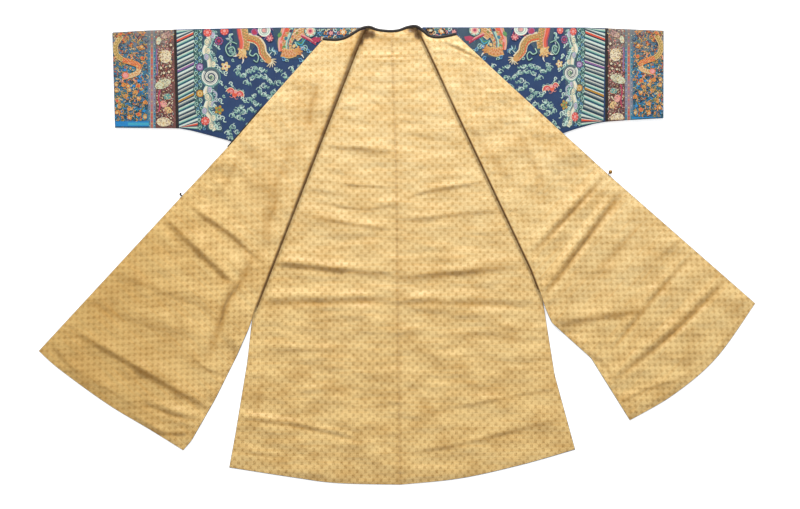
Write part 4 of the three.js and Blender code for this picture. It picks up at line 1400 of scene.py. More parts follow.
def wave_roundel(work, x, y, reach):
    """A breaking wave wound into a ring, open towards the shoulder."""
    for share, tint in ((1.04, "sea"), (0.98, "slate")):
        work.disc(x, y, reach * share, tint, 1.0, 0.0, 26)
    for shift, share, start, turns, inner, points, width, tint, taper in (
        (0, 0.86, 0.62, 2.05, 0.12, 44, 2.5, "white", 0.35),
        (0, 0.82, 0.62, 1.7, 0.3, 36, 0.7, "grey", 0.3),
        (0, 0.66, 0.6, 1.4, 0.3, 30, 0.7, "navy", 0.3),
        (0.4, 0.3, 0.3, 1.1, 0.2, 10, 1.1, "green", 0.3),
    ):
        line = curl(x + shift, y + shift, reach * share, start, turns, -1, inner, points)
        work.thread(line, width, tint, taper)
    work.thread(arc(x, y, reach * 0.9, 0.05, 0.42, 14), 0.7, "mint", 0.3)


def foam_shift(y):
    """How far the seam of foam bears towards the shoulder at a height."""
    return 4.4 * smooth((y - 96) / 34)


def diagonal_stripes(work):
    """The standing water: slanting bands of pale green with a coloured one now and then."""
    coloured = {2: "vermilion", 9: "purple", 16: "ochre", 23: "vermilion"}
    pitch, rise = 4.34, 8.0
    for i in range(-2, 26):
        y = 30.5 + i * pitch
        left, right = 176.6 + 2.6 * (y - 30) / 98, 194 + foam_shift(y)
        main = coloured.get(i)
        for low, high, tint in (
            (0.0, 0.7, "white"), (0.7, 1.9, main or ("mint", "pale_mint", "grey")[i % 3]),
            (1.9, 2.7, main or ("sea", "grey", "slate")[i % 3]), (2.7, 3.6, "navy"),
            (3.6, 4.4, ("teal", "slate", "pine")[i % 3]),
        ):
            shares = ((left, low), (right, low - rise), (right, high - rise), (left, high))
            corners = np.array([(x, y + off) for x, off in shares])
            corners[:, 1] = np.clip(corners[:, 1], 28.6, 129.3 + 0.06 * (right - 190))
            if np.ptp(corners[[0, 3], 1]) > 0.05 or np.ptp(corners[[1, 2], 1]) > 0.05:
                work.patch(corners, tint, 0.0)


def curl_band(work):
    """The seam of foam between the standing water and the rocks: curls on dark green."""
    y = np.linspace(28.8, 129, 24)
    left = np.stack([194 + foam_shift(y) + 0.8 * np.sin(y / 3), y], -1)
    right = np.stack([202.5 + foam_shift(y) + 1.1 * np.sin(y / 4.4), y], -1)
    work.patch(np.vstack([left, right[::-1]]), "pine", 0.2)
    for i, spot in enumerate(np.arange(30, 130, 3.9)):
        x = 198.2 + foam_shift(spot)
        way = 1 if i % 2 else -1
        blue = "sky" if i % 3 else "sea"
        work.scroll(x - 1.9 * way, spot, 2.3, 0.25, 1.15, 0.75, "mint", way=way)
        work.scroll(x + 2.1 * way, spot + 1.2, 1.9, 0.75, 1.05, 0.6, blue, way=-way)
        work.fleck(x + 2.6 * way, spot - 1.6, 0.6, "pale_mint")
    for spot, tint, paler in ((67, "purple", "lilac"), (93.5, "ochre", "straw")):
        rose(work, 200, spot, ((4.3, "navy"), (3.6, tint), (2.3, paler), (1.3, tint)))


def rocks_and_waves(work):
    """A ridge of pale rocks and wave crests that runs down the sleeve, with spray beside it."""
    ridge = through([
        (211, 30), (210, 38), (209, 43), (205.5, 51), (208.5, 56), (210.5, 62), (211, 70),
        (210, 84), (206.5, 92), (210, 98), (208, 104), (206.5, 110), (210.5, 116), (211.5, 122),
        (216, 130),
    ], 6)
    work.patch([
        (202, 29), (221, 29), (218, 46), (215, 60), (219, 80), (216, 96), (219, 112), (223, 132),
        (207, 130), (204, 110), (202, 90), (203, 66),
    ], "dusk")
    for shift, width, tint in (
        (0, 7.2, "sea"), (-0.5, 5.8, "pale_mint"), (-0.9, 4.2, "cream"), (1.7, 0.9, "slate"),
        (0.5, 0.7, "grey"), (-2.2, 0.8, "white"),
    ):
        work.thread(ridge + (shift, 0), width, tint)
    for i, (x, y) in enumerate(ridge[4::7]):
        way = -1 if i % 2 else 1
        work.disc(x + 2.6 * way, y, 2.9, "sea", 1.3, 0, 10)
        work.disc(x + 2.5 * way, y, 2.3, "cream" if i % 3 else "lilac", 1.35, 0, 10)
        work.thread(arc(x + 2.4 * way, y, 1.4, 0.1, 0.8, 8), 0.6, "grey")
        work.scroll(x + 6.0, y + 1.5, 2.0, 0.4, 1.1, 0.85, "pale_mint", 0.3, way)
        work.scroll(x + 5.0, y - 3.0, 1.6, 0.1, 1.0, 0.7, "mint", 0.3, -way)
    for x, y, size in (
        (216, 47, 1.5), (219, 58, 1.7), (217, 69, 1.6), (219, 83, 1.5), (218, 101, 1.9),
        (213, 107, 1.6), (220, 119, 2.2), (214, 127, 1.8),
    ):
        spray(work, x, y, size)
    for x, y, tilt in ((229.5, 41, 0.16), (215.5, 94, 0.2), (213.5, 103, -0.12)):
        swoosh = through([(-3.5, 1.2), (-1, -0.8), (2, -0.6), (4, 1.6)], 5)
        for width, tint in ((2.6, "sea"), (1.6, "lilac")):
            work.thread(turned(swoosh, tilt) + (x, y), width, tint, 0.5)
    wave_roundel(work, 210.7, 77, 9.6)
    for x, y in ((207.5, 32.5), (224.5, 31), (205.3, 121)):
        rose(work, x, y, ((4.4, "crimson"), (3.8, "vermilion"), (2.5, "red"), (1.6, "pink")))
    rose(work, 219, 41, ((4.8, "navy"), (4.0, "purple"), (2.9, "plum"), (1.6, "crimson")))
    for x, y, tints in ((225.5, 66.5, ("straw", "cream")), (219, 110, ("ochre", "green"))):
        flower(work, x, y, 4.6, 5, tints)
        work.disc(x, y, 1.1, "rust")
        work.scroll(x + 0.6, y + 6.6, 2.5, 0.2, 1.2, 0.9, "pale_mint")
        work.scroll(x - 2.4, y + 5.4, 1.8, 0.6, 1.0, 0.7, "mint", way=-1)


def dragon(work):
    """What shows of a dragon at the shoulder: the chest with one paw, two legs and a pearl."""
    scales = ("rust", "straw", "green", "gold", "cream", "amber", "pink", "vermilion")
    chest = [(291, 26), (288, 34), (285, 42), (285, 51)]
    arm, paw_arm = [(312, 26), (302, 32), (295, 38)], [(282, 52), (289, 54.0), (295, 52)]
    work.patch([(272, 28), (332, 28), (322, 42), (306, 58), (284, 60), (276, 44)], "dusk")
    locks(work, 276, 54, 0.6, 9, ("pale_mint", "teal", "mint", "dusk"), 1.1)
    locks(work, 295, 42, 0.0, 15, ("teal", "green", "cyan", "pine", "mint"), 1.3)
    limb(work, chest, 15.5, "straw", "gold", scales, 0.25, 1.35)
    limb(work, arm, 9.0, "cream", "gold", ("rust", "straw", "amber", "cream"), 0.2, 1.3)
    work.lines(chest, (
        (5.6, 2.0, "pink", 0.3), (3.8, 1.6, "vermilion", 0.3), (-1.6, 2.2, "mint", 0.4),
        (-3.4, 1.3, "teal", 0.4),
    ))
    for x, y, reach, tint in (
        (279.8, 35, 2.1, "green"), (286, 38.5, 1.6, "teal"), (291, 31, 1.5, "plum"),
        (284, 47, 1.5, "green"), (287, 30, 1.8, "vermilion"), (294, 46, 1.6, "straw"),
        (281, 42, 1.4, "pink"), (297, 33, 1.3, "olive"),
    ):
        work.disc(x, y, reach, tint, 1.3, 0.1, 8)
    limb(work, paw_arm, 7.6, "straw", "gold", ("rust", "straw", "pink", "amber"), 0.1)
    paw(work, 297, 51.5, 0.0, 8.0, "gold")
    for off, tint in ((-1.2, "pink"), (0.6, "crimson")):
        line = through([(301, 35.5 + off), (308, 39 + off), (316, 44 + off)], 5)
        work.thread(line, 1.7, tint, 0.3)
    work.patch([(311, 39), (315, 37), (321, 38), (319, 42), (314, 42.5)], "crimson")
    rose(work, 310.3, 31.2, (
        (6.4, "pine"), (5.6, "mint"), (4.3, "cream"), (3.0, "pink"), (1.5, "crimson"),
    ))
    front_leg = [(242, 26), (243.5, 35), (245, 42), (244.5, 50)]
    work.patch([(232, 28), (256, 28), (256, 44), (248, 56), (238, 52), (234, 40)], "dusk")
    front_scales = ("green", "amber", "straw", "rust", "olive")
    limb(work, front_leg, 9.0, "straw", "gold", front_scales, 0.15, 1.4)
    work.lines(front_leg, (
        (3.4, 3.0, "vermilion", 0.2), (1.6, 0.9, "pink", 0.2), (5.3, 0.9, "crimson", 0.2),
    ))
    paw(work, 242.5, 53, 0.33, 9.0)
    second_leg = [(248, 37.5), (256.5, 40), (261.5, 46), (263, 53), (268.5, 60)]
    second_scales = ("rust", "green", "amber", "olive", "straw")
    limb(work, second_leg, 7.6, "cream", "gold", second_scales, 0.15, 1.4)
    work.lines(second_leg, ((-3.4, 1.3, "cream", 0.1), (2.6, 1.2, "vermilion", 0.3)))
    for i in range(6):
        claw = arc(0, 0, 8.6, 0, 0.13, 7)
        claw = turned(claw - claw[0], -0.1 + 0.075 * i - 0.25) + (269.5 + i * 0.2, 60.8)
        work.thread(claw, 1.45, "cream", 0.6)
    work.disc(268.6, 60.6, 3.0, "gold")
    for line in (
        [(251, 50), (249.5, 54), (253, 56), (256, 53.5), (258.5, 57), (257, 62), (253.5, 60)],
        [(228, 49), (233, 47), (235, 52), (231, 56), (227, 53), (226, 47), (231, 42), (237, 44)],
    ):
        work.thread(through(line, 4), 2.0, "pine")
        work.thread(through(line, 4), 1.0, "mint", 0.3)
    locks(work, 273, 47, 0.22, 8, ("sky", "pale_mint", "teal"), 1.0)
    locks(work, 233, 34, 0.36, 8, ("mint", "sea", "pale_mint"), 1.0)
    rose(work, 269.8, 38.2, ((4.0, "plum"), (3.1, "crimson"), (1.8, "pink")))
    rose(work, 254.6, 32, ((3.6, "purple"), (2.6, "crimson")))
    pearl(work, 264.3, 30.3, 6.0)
    for x, y in ((283.5, 59.5), (308, 51.5), (300.5, 60.5), (302, 48.5)):
        work.scroll(x, y, 2.3, 0.6, 1.1, 0.9, "sky")
        work.scroll(x + 3, y + 1.2, 1.9, 0.1, 1.0, 0.8, "mint", way=-1)


def shoulder_needlework(work):
    """The strip of work that shows between the neck and the top of the shoulder."""
    rng = random.Random(21)
    for i, x in enumerate(np.arange(317, 360, 3.1)):
        for row in range(3):
            y = 29 + 4.6 * row + rng.uniform(-1, 1)
            tint = rng.choice(("mint", "cream", "teal", "pink", "sea", "amber", "pale_mint", "sky"))
            ground = rng.choice(("pine", "navy", "dusk", "brown"))
            work.disc(x, y, 2.2, ground, 0.8, rng.random(), 8)
            work.scroll(x, y, 2.3, rng.random(), 1.1, 0.9, tint, way=1 if i % 2 else -1)
    for x, y, tints in (
        (343, 32, ("amber", "cream")), (331, 33, ("plum", "pink")), (354, 31, ("gold", "cream")),
    ):
        flower(work, x, y, 3.6, 5, tints)


def clouds_and_bats(work):
    """The sky of the sleeve: cloud scrolls about a bat."""
    for spots in (
        [
            (236.5, 71.4), (243.5, 76), (249, 71), (255, 69), (262, 69), (252, 78), (258, 75),
            (264.5, 76.5), (269.6, 81.6), (246, 83), (264, 85.5), (240, 67),
        ],
        [
            (259, 90), (264, 95), (255, 96), (249, 100), (256, 103), (242, 106), (235.5, 110),
            (243, 112), (251, 109.5), (232, 116), (239.5, 117.5),
        ],
        [(232.7, 127.3), (227, 133.5), (237, 132), (231, 139), (242, 137)],
        [(284, 76), (291, 69), (295.5, 73), (279, 83), (277, 69), (300, 66)],
        [(230, 49), (234.5, 55)], [(274, 92), (269, 99)], [(262, 110), (256, 117)],
        [(248, 125), (252, 131)],
    ):
        cloud(work, spots, 2.7 if len(spots) > 3 else 2.1)
    for x, y in (
        (222, 58), (243, 91), (226, 87), (224, 96), (245, 101), (233, 60), (286, 84), (262, 60),
    ):
        work.scroll(x, y, 1.7, 0.1, 1.1, 0.75, "mint", 0.3)
    spray(work, 229, 84, 1.6)
    spray(work, 241, 99, 1.3)
    bat(work, 235.2, 93.2, 4.1, 0.05)


def scattered(rng, left, right, top, bottom, pitch):
    """Places on a jittered grid."""
    for y in np.arange(top, bottom, pitch):
        for x in np.arange(left, right, pitch):
            yield x + rng.uniform(-0.5, 0.5) * pitch, y + rng.uniform(-0.5, 0.5) * pitch


def cuff_work(work):
    """The cuff's brocade: a small coiling dragon over close strewn flowers, leaves and scrolls."""
    rng = random.Random(8)
    for x, y in scattered(rng, 113.5, 147.5, 32, 121, 2.3):
        tint = rng.choice((
            "amber", "gold", "gold", "rust", "ochre", "teal", "teal", "pine", "navy", "straw",
            "brown", "olive", "bright_blue" if y > 74 else "slate", "cyan" if y > 60 else "brown",
        ))
        start = rng.random()
        bend = arc(x, y, rng.uniform(0.9, 1.9), start, start + rng.uniform(0.25, 0.6), 6)
        work.thread(bend, rng.uniform(0.7, 1.2), tint, 0.3)
        if rng.random() < 0.3:
            work.fleck(
                x, y, 0.6, rng.choice(("cream", "straw", "amber", "navy", "pine")), rng.random(),
            )
    for x, y in (
        (142, 47), (142.5, 58), (116.5, 84.6), (123.7, 85.3), (116.5, 90.5), (128.2, 86),
        (138.6, 86), (135.4, 92.4), (129.5, 89.8), (126.3, 96.3), (138.6, 98.3), (145, 102.8),
        (117.2, 101), (119.8, 106.7), (128.9, 108.7), (117.2, 112.6), (129.5, 117.5), (138.6, 114),
        (145.4, 117), (121, 34),
    ):
        coil = curl(x, y, 2.4, rng.random(), 1.0, rng.choice((-1, 1)), 0.4)
        work.thread(coil, 1.2, rng.choice(("amber", "gold")), 0.2)
        work.fleck(x, y, 1.3, rng.choice(("amber", "vermilion", "straw")), rng.random(), 0.9)
    for x, y in ((134, 86), (138.6, 80.7), (144, 111), (125, 70)):
        work.disc(x, y, 1.7, "bright_blue", 0.8, 0, 8)
    for x, y in ((116, 36), (124, 38.5), (133, 43.5), (128, 33)):
        locks(work, x, y, rng.random(), 4.5, ("gold", "amber", "rust"), 1.2)
    body = [
        (121, 37), (116.5, 43.6), (115.4, 50), (117.5, 55.5), (123, 60), (131.5, 62.5), (138, 65),
        (139.3, 69), (137.3, 73), (132.8, 75), (125, 77.5),
    ]
    work.thread(through(body, 6), 4.8, "teal")
    limb(work, body[:5], 3.2, "straw", "ochre", ("straw", "olive"), 0.0, 1.5)
    limb(work, body[4:8], 3.6, "amber", "vermilion", ("amber", "straw", "rust"), 0.0, 1.5)
    limb(work, body[7:], 3.4, "straw", "gold", ("amber", "cream"), 0.2, 1.5)
    for x, y, way in ((116, 57.5, 0.4), (131, 59.5, 0.8), (125, 79, 0.4), (134, 78, 0.2)):
        locks(work, x, y, way, 5, ("amber", "pink", "gold"), 1.1)
    rose(work, 125.5, 75.5, ((3.4, "vermilion"), (2.4, "pink")))
    for low, high, left, tint in ((121.4, 126.4, 114, "bright_blue"), (122.6, 125.4, 128, "cyan")):
        work.patch([(left, low), (149, low), (149, high), (left, high)], tint, 0.0)


def patterned_band_work(work):
    """Cream medallions, shells and knots close together on the brown band."""
    rng = random.Random(5)
    for x, y in scattered(rng, 157, 174, 31, 126, 1.7):
        tint = rng.choice((
            "straw", "cream", "brown", "brown", "band_pink", "band_pink", "pink", "rust", "grey",
            "plum", "cream",
        ))
        start = rng.random()
        bend = arc(x, y, rng.uniform(0.5, 1.1), start, start + rng.uniform(0.2, 0.5), 5)
        work.thread(bend, rng.uniform(0.5, 0.9), tint, 0.3)
    for x, y, wide, tall, tilt, tint, speck in (
        (165.3, 56.5, 6.0, 6.6, 0, "cream", "ochre"), (163, 84, 8.4, 4.4, -0.06, "shell", "olive"),
        (163.8, 122, 7.0, 4.6, 0, "cream", "ochre"),
        (166, 35.5, 4.8, 3.0, -0.07, "band_pink", "cream"),
        (158.5, 41, 2.2, 4.2, 0.03, "shell", "olive"), (167.5, 96.5, 3.8, 3.0, 0, "sea", "cream"),
        (163.5, 104, 3.6, 3.2, 0.1, "pink", "vermilion"),
        (168, 110, 4.0, 3.0, 0.1, "straw", "rust"),
    ):
        work.disc(x, y, wide, tint, tall / wide, tilt, 16)
        for _ in range(int(wide * tall * 1.3)):
            reach, angle = rng.random() ** 0.5, rng.uniform(0, 2 * math.pi)
            dx, dy = turned(
                [(reach * math.cos(angle) * wide, reach * math.sin(angle) * tall)], tilt,
            )[0]
            start = rng.random()
            bend = arc(x + dx, y + dy, 0.8, start, start + 0.4, 5)
            work.thread(bend, 0.55, rng.choice((speck, "brown", "straw", "band_pink")), 0.3)
    work.thread(through([(160, 90), (158.5, 98), (160, 106), (158.5, 112)], 4), 1.6, "crimson", 0.1)
    work.thread(through([(157, 49), (156.6, 58), (157.4, 68), (156.8, 76)], 4), 1.1, "purple", 0.1)
    for spot in ((161, 68), (169, 72), (164, 73), (171, 45), (170, 66)):
        flower(work, *spot, 2.2, 5, ("brown", "cream"))


def ribbon_work(work):
    """Tiny flowers along the ribbon."""
    for i, y in enumerate(np.arange(35, 126, 3.7)):
        work.fleck(151.9, y, 0.8, ("straw", "vermilion", "purple")[i % 3], 0.25)
        work.fleck(149.4, y + 1.8, 0.5, "teal" if i % 2 else "pale_mint", 0.25)
        work.fleck(154.4, y + 1.8, 0.5, "navy" if i % 2 else "pale_mint", 0.25)


def to_right(points):
    """The left sleeve's work carried over to the right one, which is cut a little narrower."""
    p = np.asarray(points, float)
    left = [104, 112, 148, 155.6, 173.5, 176.5, 179, 194, 202, 220, 234.7, 272, 300, 357, 380]
    right = [
        672, 664, 632.9, 624.8, 607.9, 605.2, 603.4, 584.6, 577.5, 563.5, 552.5, 512.5, 485, 428,
        405,
    ]
    x = np.interp(p[:, 0], left, right)
    y = np.interp(p[:, 1], [20, 30, 64, 77, 100, 128, 140], [20, 29, 62, 72.5, 94, 124.5, 134])
    return from_photo(np.stack([x, y], -1))


def build_needlework(name, cut, sizes):
    """All the needlework of one sleeve and shoulder."""
    for piece, slot, parts in (
        ("needlework", "blue_silk", (
            (diagonal_stripes, 0), (curl_band, 140), (rocks_and_waves, 230), (clouds_and_bats, 0),
            (shoulder_needlework, 0), (dragon, 60),
        )),
        ("cuff_figures", "turquoise_brocade", ((cuff_work, 0),)),
        ("band_figures", "brown_brocade", ((patterned_band_work, 0),)),
        ("ribbon_figures", "ribbon", ((ribbon_work, 0),)),
    ):
        work = Needlework(cut, sizes)
        for part, order in parts:
            work.order = order
            part(work)
        work.finish(f"{piece}_{name}", slot)


def on_back(cut, line, sizes):
    """The height of a stitch on the back lining."""
    return BACK_LINING_Z + STITCH_LIFT + back_rise(cut, line, sizes)[0]


STITCH_NODES = {
    "in": "NodeGroupInput", "points": "GeometryNodeCurveToPoints",
    "shape": "GeometryNodeMeshCylinder", "size": "ShaderNodeCombineXYZ",
    "jitter": "FunctionNodeRandomValue", "lean": "FunctionNodeRandomValue",
    "scale": "ShaderNodeVectorMath", "turn": "FunctionNodeRotateRotation",
    "copies": "GeometryNodeInstanceOnPoints", "real": "GeometryNodeRealizeInstances",
    "finish": "GeometryNodeSetMaterial", "out": "NodeGroupOutput",
}
# Node, setting and value
STITCH_SETTINGS = (
    ("points", "mode", "LENGTH"), ("jitter", "data_type", "FLOAT"),
    ("lean", "data_type", "FLOAT_VECTOR"), ("turn", "rotation_space", "LOCAL"),
    ("scale", "operation", "SCALE"),
)
# Node, socket and value
STITCH_VALUES = (
    ("shape", "Vertices", 6), ("shape", "Radius", 0.5), ("shape", "Depth", 1.0),
    ("jitter", 2, 0.8), ("jitter", 3, 1.15), ("jitter", "Seed", 4),
    ("lean", 0, (-0.12, -0.06, -0.12)), ("lean", 1, (0.12, 0.06, 0.12)), ("lean", "Seed", 9),
)
# Node and output, then node and input
STITCH_LINKS = (
    ("in", "Geometry", "points", "Curve"), ("in", "Spacing", "points", "Length"),
    ("in", "Thickness", "size", "X"), ("in", "Thickness", "size", "Y"),
    ("in", "Length", "size", "Z"), ("size", 0, "scale", 0), ("jitter", 1, "scale", "Scale"),
    ("points", "Points", "copies", "Points"),
    ("shape", "Mesh", "copies", "Instance"), ("points", "Rotation", "turn", 0),
    ("lean", 0, "turn", 1), ("turn", 0, "copies", "Rotation"), ("scale", 0, "copies", "Scale"),
    ("copies", 0, "real", 0), ("real", 0, "finish", "Geometry"),
    ("in", "Finish", "finish", "Material"), ("finish", 0, "out", 0),
)


def stitch_tree(name, lengths):
    """A tree that lays a stitch at each step along a curve, and the identifiers of its inputs."""
    tree = bpy.data.node_groups.new(f"{name} stitches", "GeometryNodeTree")
    kinds = {"Geometry": "NodeSocketGeometry", "Finish": "NodeSocketMaterial"}
    inputs = {}
    for label in ("Geometry", *lengths, "Finish"):
        kind = kinds.get(label, "NodeSocketFloat")
        socket = tree.interface.new_socket(label, in_out="INPUT", socket_type=kind)
        if label in lengths:
            socket.default_value = lengths[label]
        inputs[label] = socket.identifier
    tree.interface.new_socket("Geometry", in_out="OUTPUT", socket_type="NodeSocketGeometry")
    nodes = {key: tree.nodes.new(kind) for key, kind in STITCH_NODES.items()}
    for key, setting, value in STITCH_SETTINGS:
        setattr(nodes[key], setting, value)
    for key, socket, value in STITCH_VALUES:
        nodes[key].inputs[socket].default_value = value
    for start, output, end, into in STITCH_LINKS:
        tree.links.new(nodes[start].outputs[output], nodes[end].inputs[into])
    return tree, inputs


def stitches(name, routes, sizes, length=0.0022, spacing=0.0075):
    """Small stitches along routes, made with Geometry Nodes and kept as a plain mesh."""
    curve = bpy.data.curves.new(name, "CURVE")
    curve.dimensions = "3D"
    for line in routes:
        spline = curve.splines.new("POLY")
        spline.points.add(len(line) - 1)
        for point, place in zip(spline.points, line):
            point.co = (*(np.asarray(place) * MM), 1)
    holder = placed(f"{name}_route", curve)
    lengths = {"Spacing": spacing, "Length": length, "Thickness": sizes.stitch_thickness}
    tree, inputs = stitch_tree(name, lengths)
    modifier = holder.modifiers.new("Stitches", "NODES")
    modifier.node_group = tree
    for label, value in (*lengths.items(), ("Finish", LOOKS["sewing"])):
        modifier[inputs[label]] = value
    graph = bpy.context.evaluated_depsgraph_get()
    mesh = bpy.data.meshes.new_from_object(holder.evaluated_get(graph))
    holder.modifiers.remove(modifier)
    piece = placed(name, mesh)
    bpy.data.objects.remove(holder)
    mesh.polygons.foreach_set("use_smooth", [True] * len(mesh.polygons))
    return dress(piece, LOOKS["sewing"], "gold_damask")


def length(name, description, default, precision=4):
    """A size in metres that the user can change."""
    return bpy.props.FloatProperty(
        name=name, description=description, default=default, precision=precision, unit="LENGTH",
    )


def count(name, description, default):
    """A number of steps that the user can change."""
    return bpy.props.IntProperty(name=name, description=description, default=default, min=2)


def number(name, description, default):
    """A plain value that the user can change."""
    return bpy.props.FloatProperty(name=name, description=description, default=default, min=0)


def shade(name, description, code):
    """A colour that the user can change."""
    return bpy.props.FloatVectorProperty(
        name=name, description=description, subtype="COLOR_GAMMA", size=3, default=hexed(code),
        min=0, max=1,
    )


class RobeSizes(bpy.types.PropertyGroup):
    """Sizes of the cloth and its details."""

    cloth_step: number("Cloth step", "Millimetres between rows of points down a blue panel", 9.0)
    lining_step: number("Lining step", "Millimetres between rows of points down a lining", 3.0)
    flap_columns: count("Flap columns", "Columns of points across the outer part of a flap", 42)
    back_columns: count("Back columns", "Columns of points across one half of the back", 46)
    sleeve_columns: count("Sleeve columns", "Rows of points along a sleeve's faces", 30)
    fold_steps: count("Fold steps", "Steps round a soft fold of the cloth", 8)
    crease_strength: number("Crease strength", "Share of each crease's own height", 1.0)
    ripple_height: number("Ripple height", "Unevenness of the cloth, in millimetres", 2.7)
    lining_inset: length("Lining inset", "How far the lining stops short of the blue edge", 0.0008)
    ribbon_width: length("Ribbon width", "Width of the striped ribbon", 0.0192)
    lattice_across: length("Lattice across", "Across the cloth, from flower to flower", 0.0198)
    lattice_along: length("Lattice along", "Along the cloth, from flower to flower", 0.0216)
    weave_pitch: length("Weave pitch", "Distance between threads of the cloth", 0.0009, 5)
    stitch_rise: length("Stitch rise", "How far needlework stands above the silk", 0.0004, 5)
    stitch_order: length("Stitch order", "How far each stitch stands above the last", 0.0000016, 7)
    stitch_inset: length("Stitch inset", "How far sewing lies inside an edge", 0.0045)
    stitch_thickness: length("Stitch thickness", "Thickness of a sewing stitch", 0.0006, 5)
    camera_lens: number("Camera lens", "Focal length of the camera, in millimetres", 85.0)


class RobeColours(bpy.types.PropertyGroup):
    """Colours of the cloth and the metal."""

    lining_light: shade("Lining, light", "Gold ground near the neck", "EACF98")
    lining_deep: shade("Lining, deep", "Gold ground near the hems", "EFCD89")
    floret_light: shade("Woven flower, light", "Flower on the light ground", "BE914A")
    floret_deep: shade("Woven flower, deep", "Flower on the deep ground", "A67A38")
    # Colours of the painted shade in the creases and along the folds, and of the stains
    shade_and_soil: shade("ShadeAndSoil", "Ochre of the creases", "A8741F")
    shade_and_wear: shade("ShadeAndWear", "Brown of the folds", "573609")
    silk_deep: shade("Silk, deep", "Darker blue of the outer cloth", "15274A")
    silk_light: shade("Silk, light", "Lighter blue of the outer cloth", "24446F")
    cuff: shade("Cuff", "Ground of the turquoise brocade", "1C6E84")
    band: shade("Band", "Ground of the brown brocade", "7A4A42")
    binding: shade("Binding", "Black satin of the neck and the piping", "14100E")
    gilt: shade("Gilt", "Gold of the button", "B58A45")


LOOKS = {}


def sizes_of(context):
    return context.scene.robe_sizes


def add_materials(context):
    colours, sizes = context.scene.robe_colours, sizes_of(context)
    turquoise = (linear(colours.cuff), tone("cuff_orange"), tone("cuff_blue"))
    brown = (linear(colours.band), tone("band_tan"), tone("band_plum"))
    LOOKS.update({
        "gold_damask": damask(colours, sizes), "blue_silk": blue_silk(colours, sizes),
        "black_satin": satin("Black satin", colours.binding), "ribbon": striped_ribbon(sizes),
        "turquoise_brocade": brocade("Turquoise brocade", turquoise, sizes, 60.0),
        "brown_brocade": brocade("Brown brocade", brown, sizes, 70.0),
        "thread": silk_thread("Silk floss", 0.4), "sewing": sewing_thread(colours),
        "gilt_brass": gilt(colours),
    })


class ROBE_OT_finishes(bpy.types.Operator):
    """Make the cloths, threads and metal"""

    bl_idname = "robe.finishes"
    bl_label = "Finishes"

    def execute(self, context):
        add_materials(context)
        return {"FINISHED"}


class ROBE_OT_back(bpy.types.Operator):
    """Lay the back, its blue cloth below and its gold lining above"""

    bl_idname = "robe.back"
    bl_label = "Back"

    def execute(self, context):
        for name, cut in SIDES.items():
            outer, lining = build_back(name, cut, sizes_of(context))
        return {"FINISHED"}


class ROBE_OT_fronts(bpy.types.Operator):
    """Fold both fronts open over the back"""

    bl_idname = "robe.fronts"
    bl_label = "Fronts"

    def execute(self, context):
        for name, cut in SIDES.items():
            outer, lining = build_front(name, cut, sizes_of(context))
        return {"FINISHED"}


class ROBE_OT_sleeves(bpy.types.Operator):
    """Lay the sleeves, with their piping, bands, ribbons and cuffs"""

    bl_idname = "robe.sleeves"
    bl_label = "Sleeves"

    def execute(self, context):
        for name, cut in SIDES.items():
            start = (cut["sleeve_seam"][0][0], cut["sleeve_seam"][1][0])
            tubes, lengths = {}, {}
            for part in SLEEVE_PARTS[name]:
                tubes[part[0]] = build_tube(name, cut, part, start, sizes_of(context))
                lengths[part[0]] = abs(part[2] - start[0])
                start = part[2:]
            for kind, depth in SLEEVE_DEPTH.items():
                TUBE_AREA.get((kind, name))
        return {"FINISHED"}


class ROBE_OT_needlework(bpy.types.Operator):
    """Work the sleeves and shoulders in coloured floss"""

    bl_idname = "robe.needlework"
    bl_label = "Needlework"

    def execute(self, context):
        for name, cut in SIDES.items():
            build_needlework(name, cut, sizes_of(context))
        return {"FINISHED"}


class ROBE_OT_trims(bpy.types.Operator):
    """Bind the neck and sew on the edging, the loops and the strap"""

    bl_idname = "robe.trims"
    bl_label = "Trims"

    def execute(self, context):
        base = BODY_TOP + GAP
        low = BINDING["low"]
        binding = through([(x, y, low + base * over) for x, y, over in NECK_ROUTE], 10)
        binding[:, 2] = np.maximum(binding[:, 2], low) + BINDING["rise"]
        edging = through([(x, y, base + EDGING_RISE) for x, y in FRONT_EDGING], 8)
        strap = through([(x, y, base + STRAP_RISE) for x, y in NECK_STRAP], 8)
        angle = np.arange(NECK_LOOP["points"]) * 2 * math.pi / NECK_LOOP["points"]
        loop = np.stack([
            NECK_LOOP["x"] + NECK_LOOP["half_length"] * np.cos(angle),
            NECK_LOOP["y"] + NECK_LOOP["half_width"] * np.sin(angle),
            np.full(len(angle), base + CORD_RADIUS),
        ], -1)
        for name, node, route, half_width, half_height in (
            ("neck_binding_satin", "neck_binding", binding, 3.7, 1.8),
            ("front_edging_satin", "front_edging_left", edging, 1.4, EDGING_RISE),
            ("neck_loop_cord", "neck_loop", loop, CORD_RADIUS, CORD_RADIUS),
            ("neck_strap_braid", "neck_strap", strap, 1.6, STRAP_RISE),
            ("front_loop_cord", "front_loop", through(FRONT_LOOP, 8), 1.8, 1.6),
        ):
            sides = 14 if node == "neck_binding" else 10
            trim = cord(name, route, half_width, half_height, sides, node == "neck_loop")
            dress(trim, LOOKS["black_satin"], "black_satin", node)
        return {"FINISHED"}


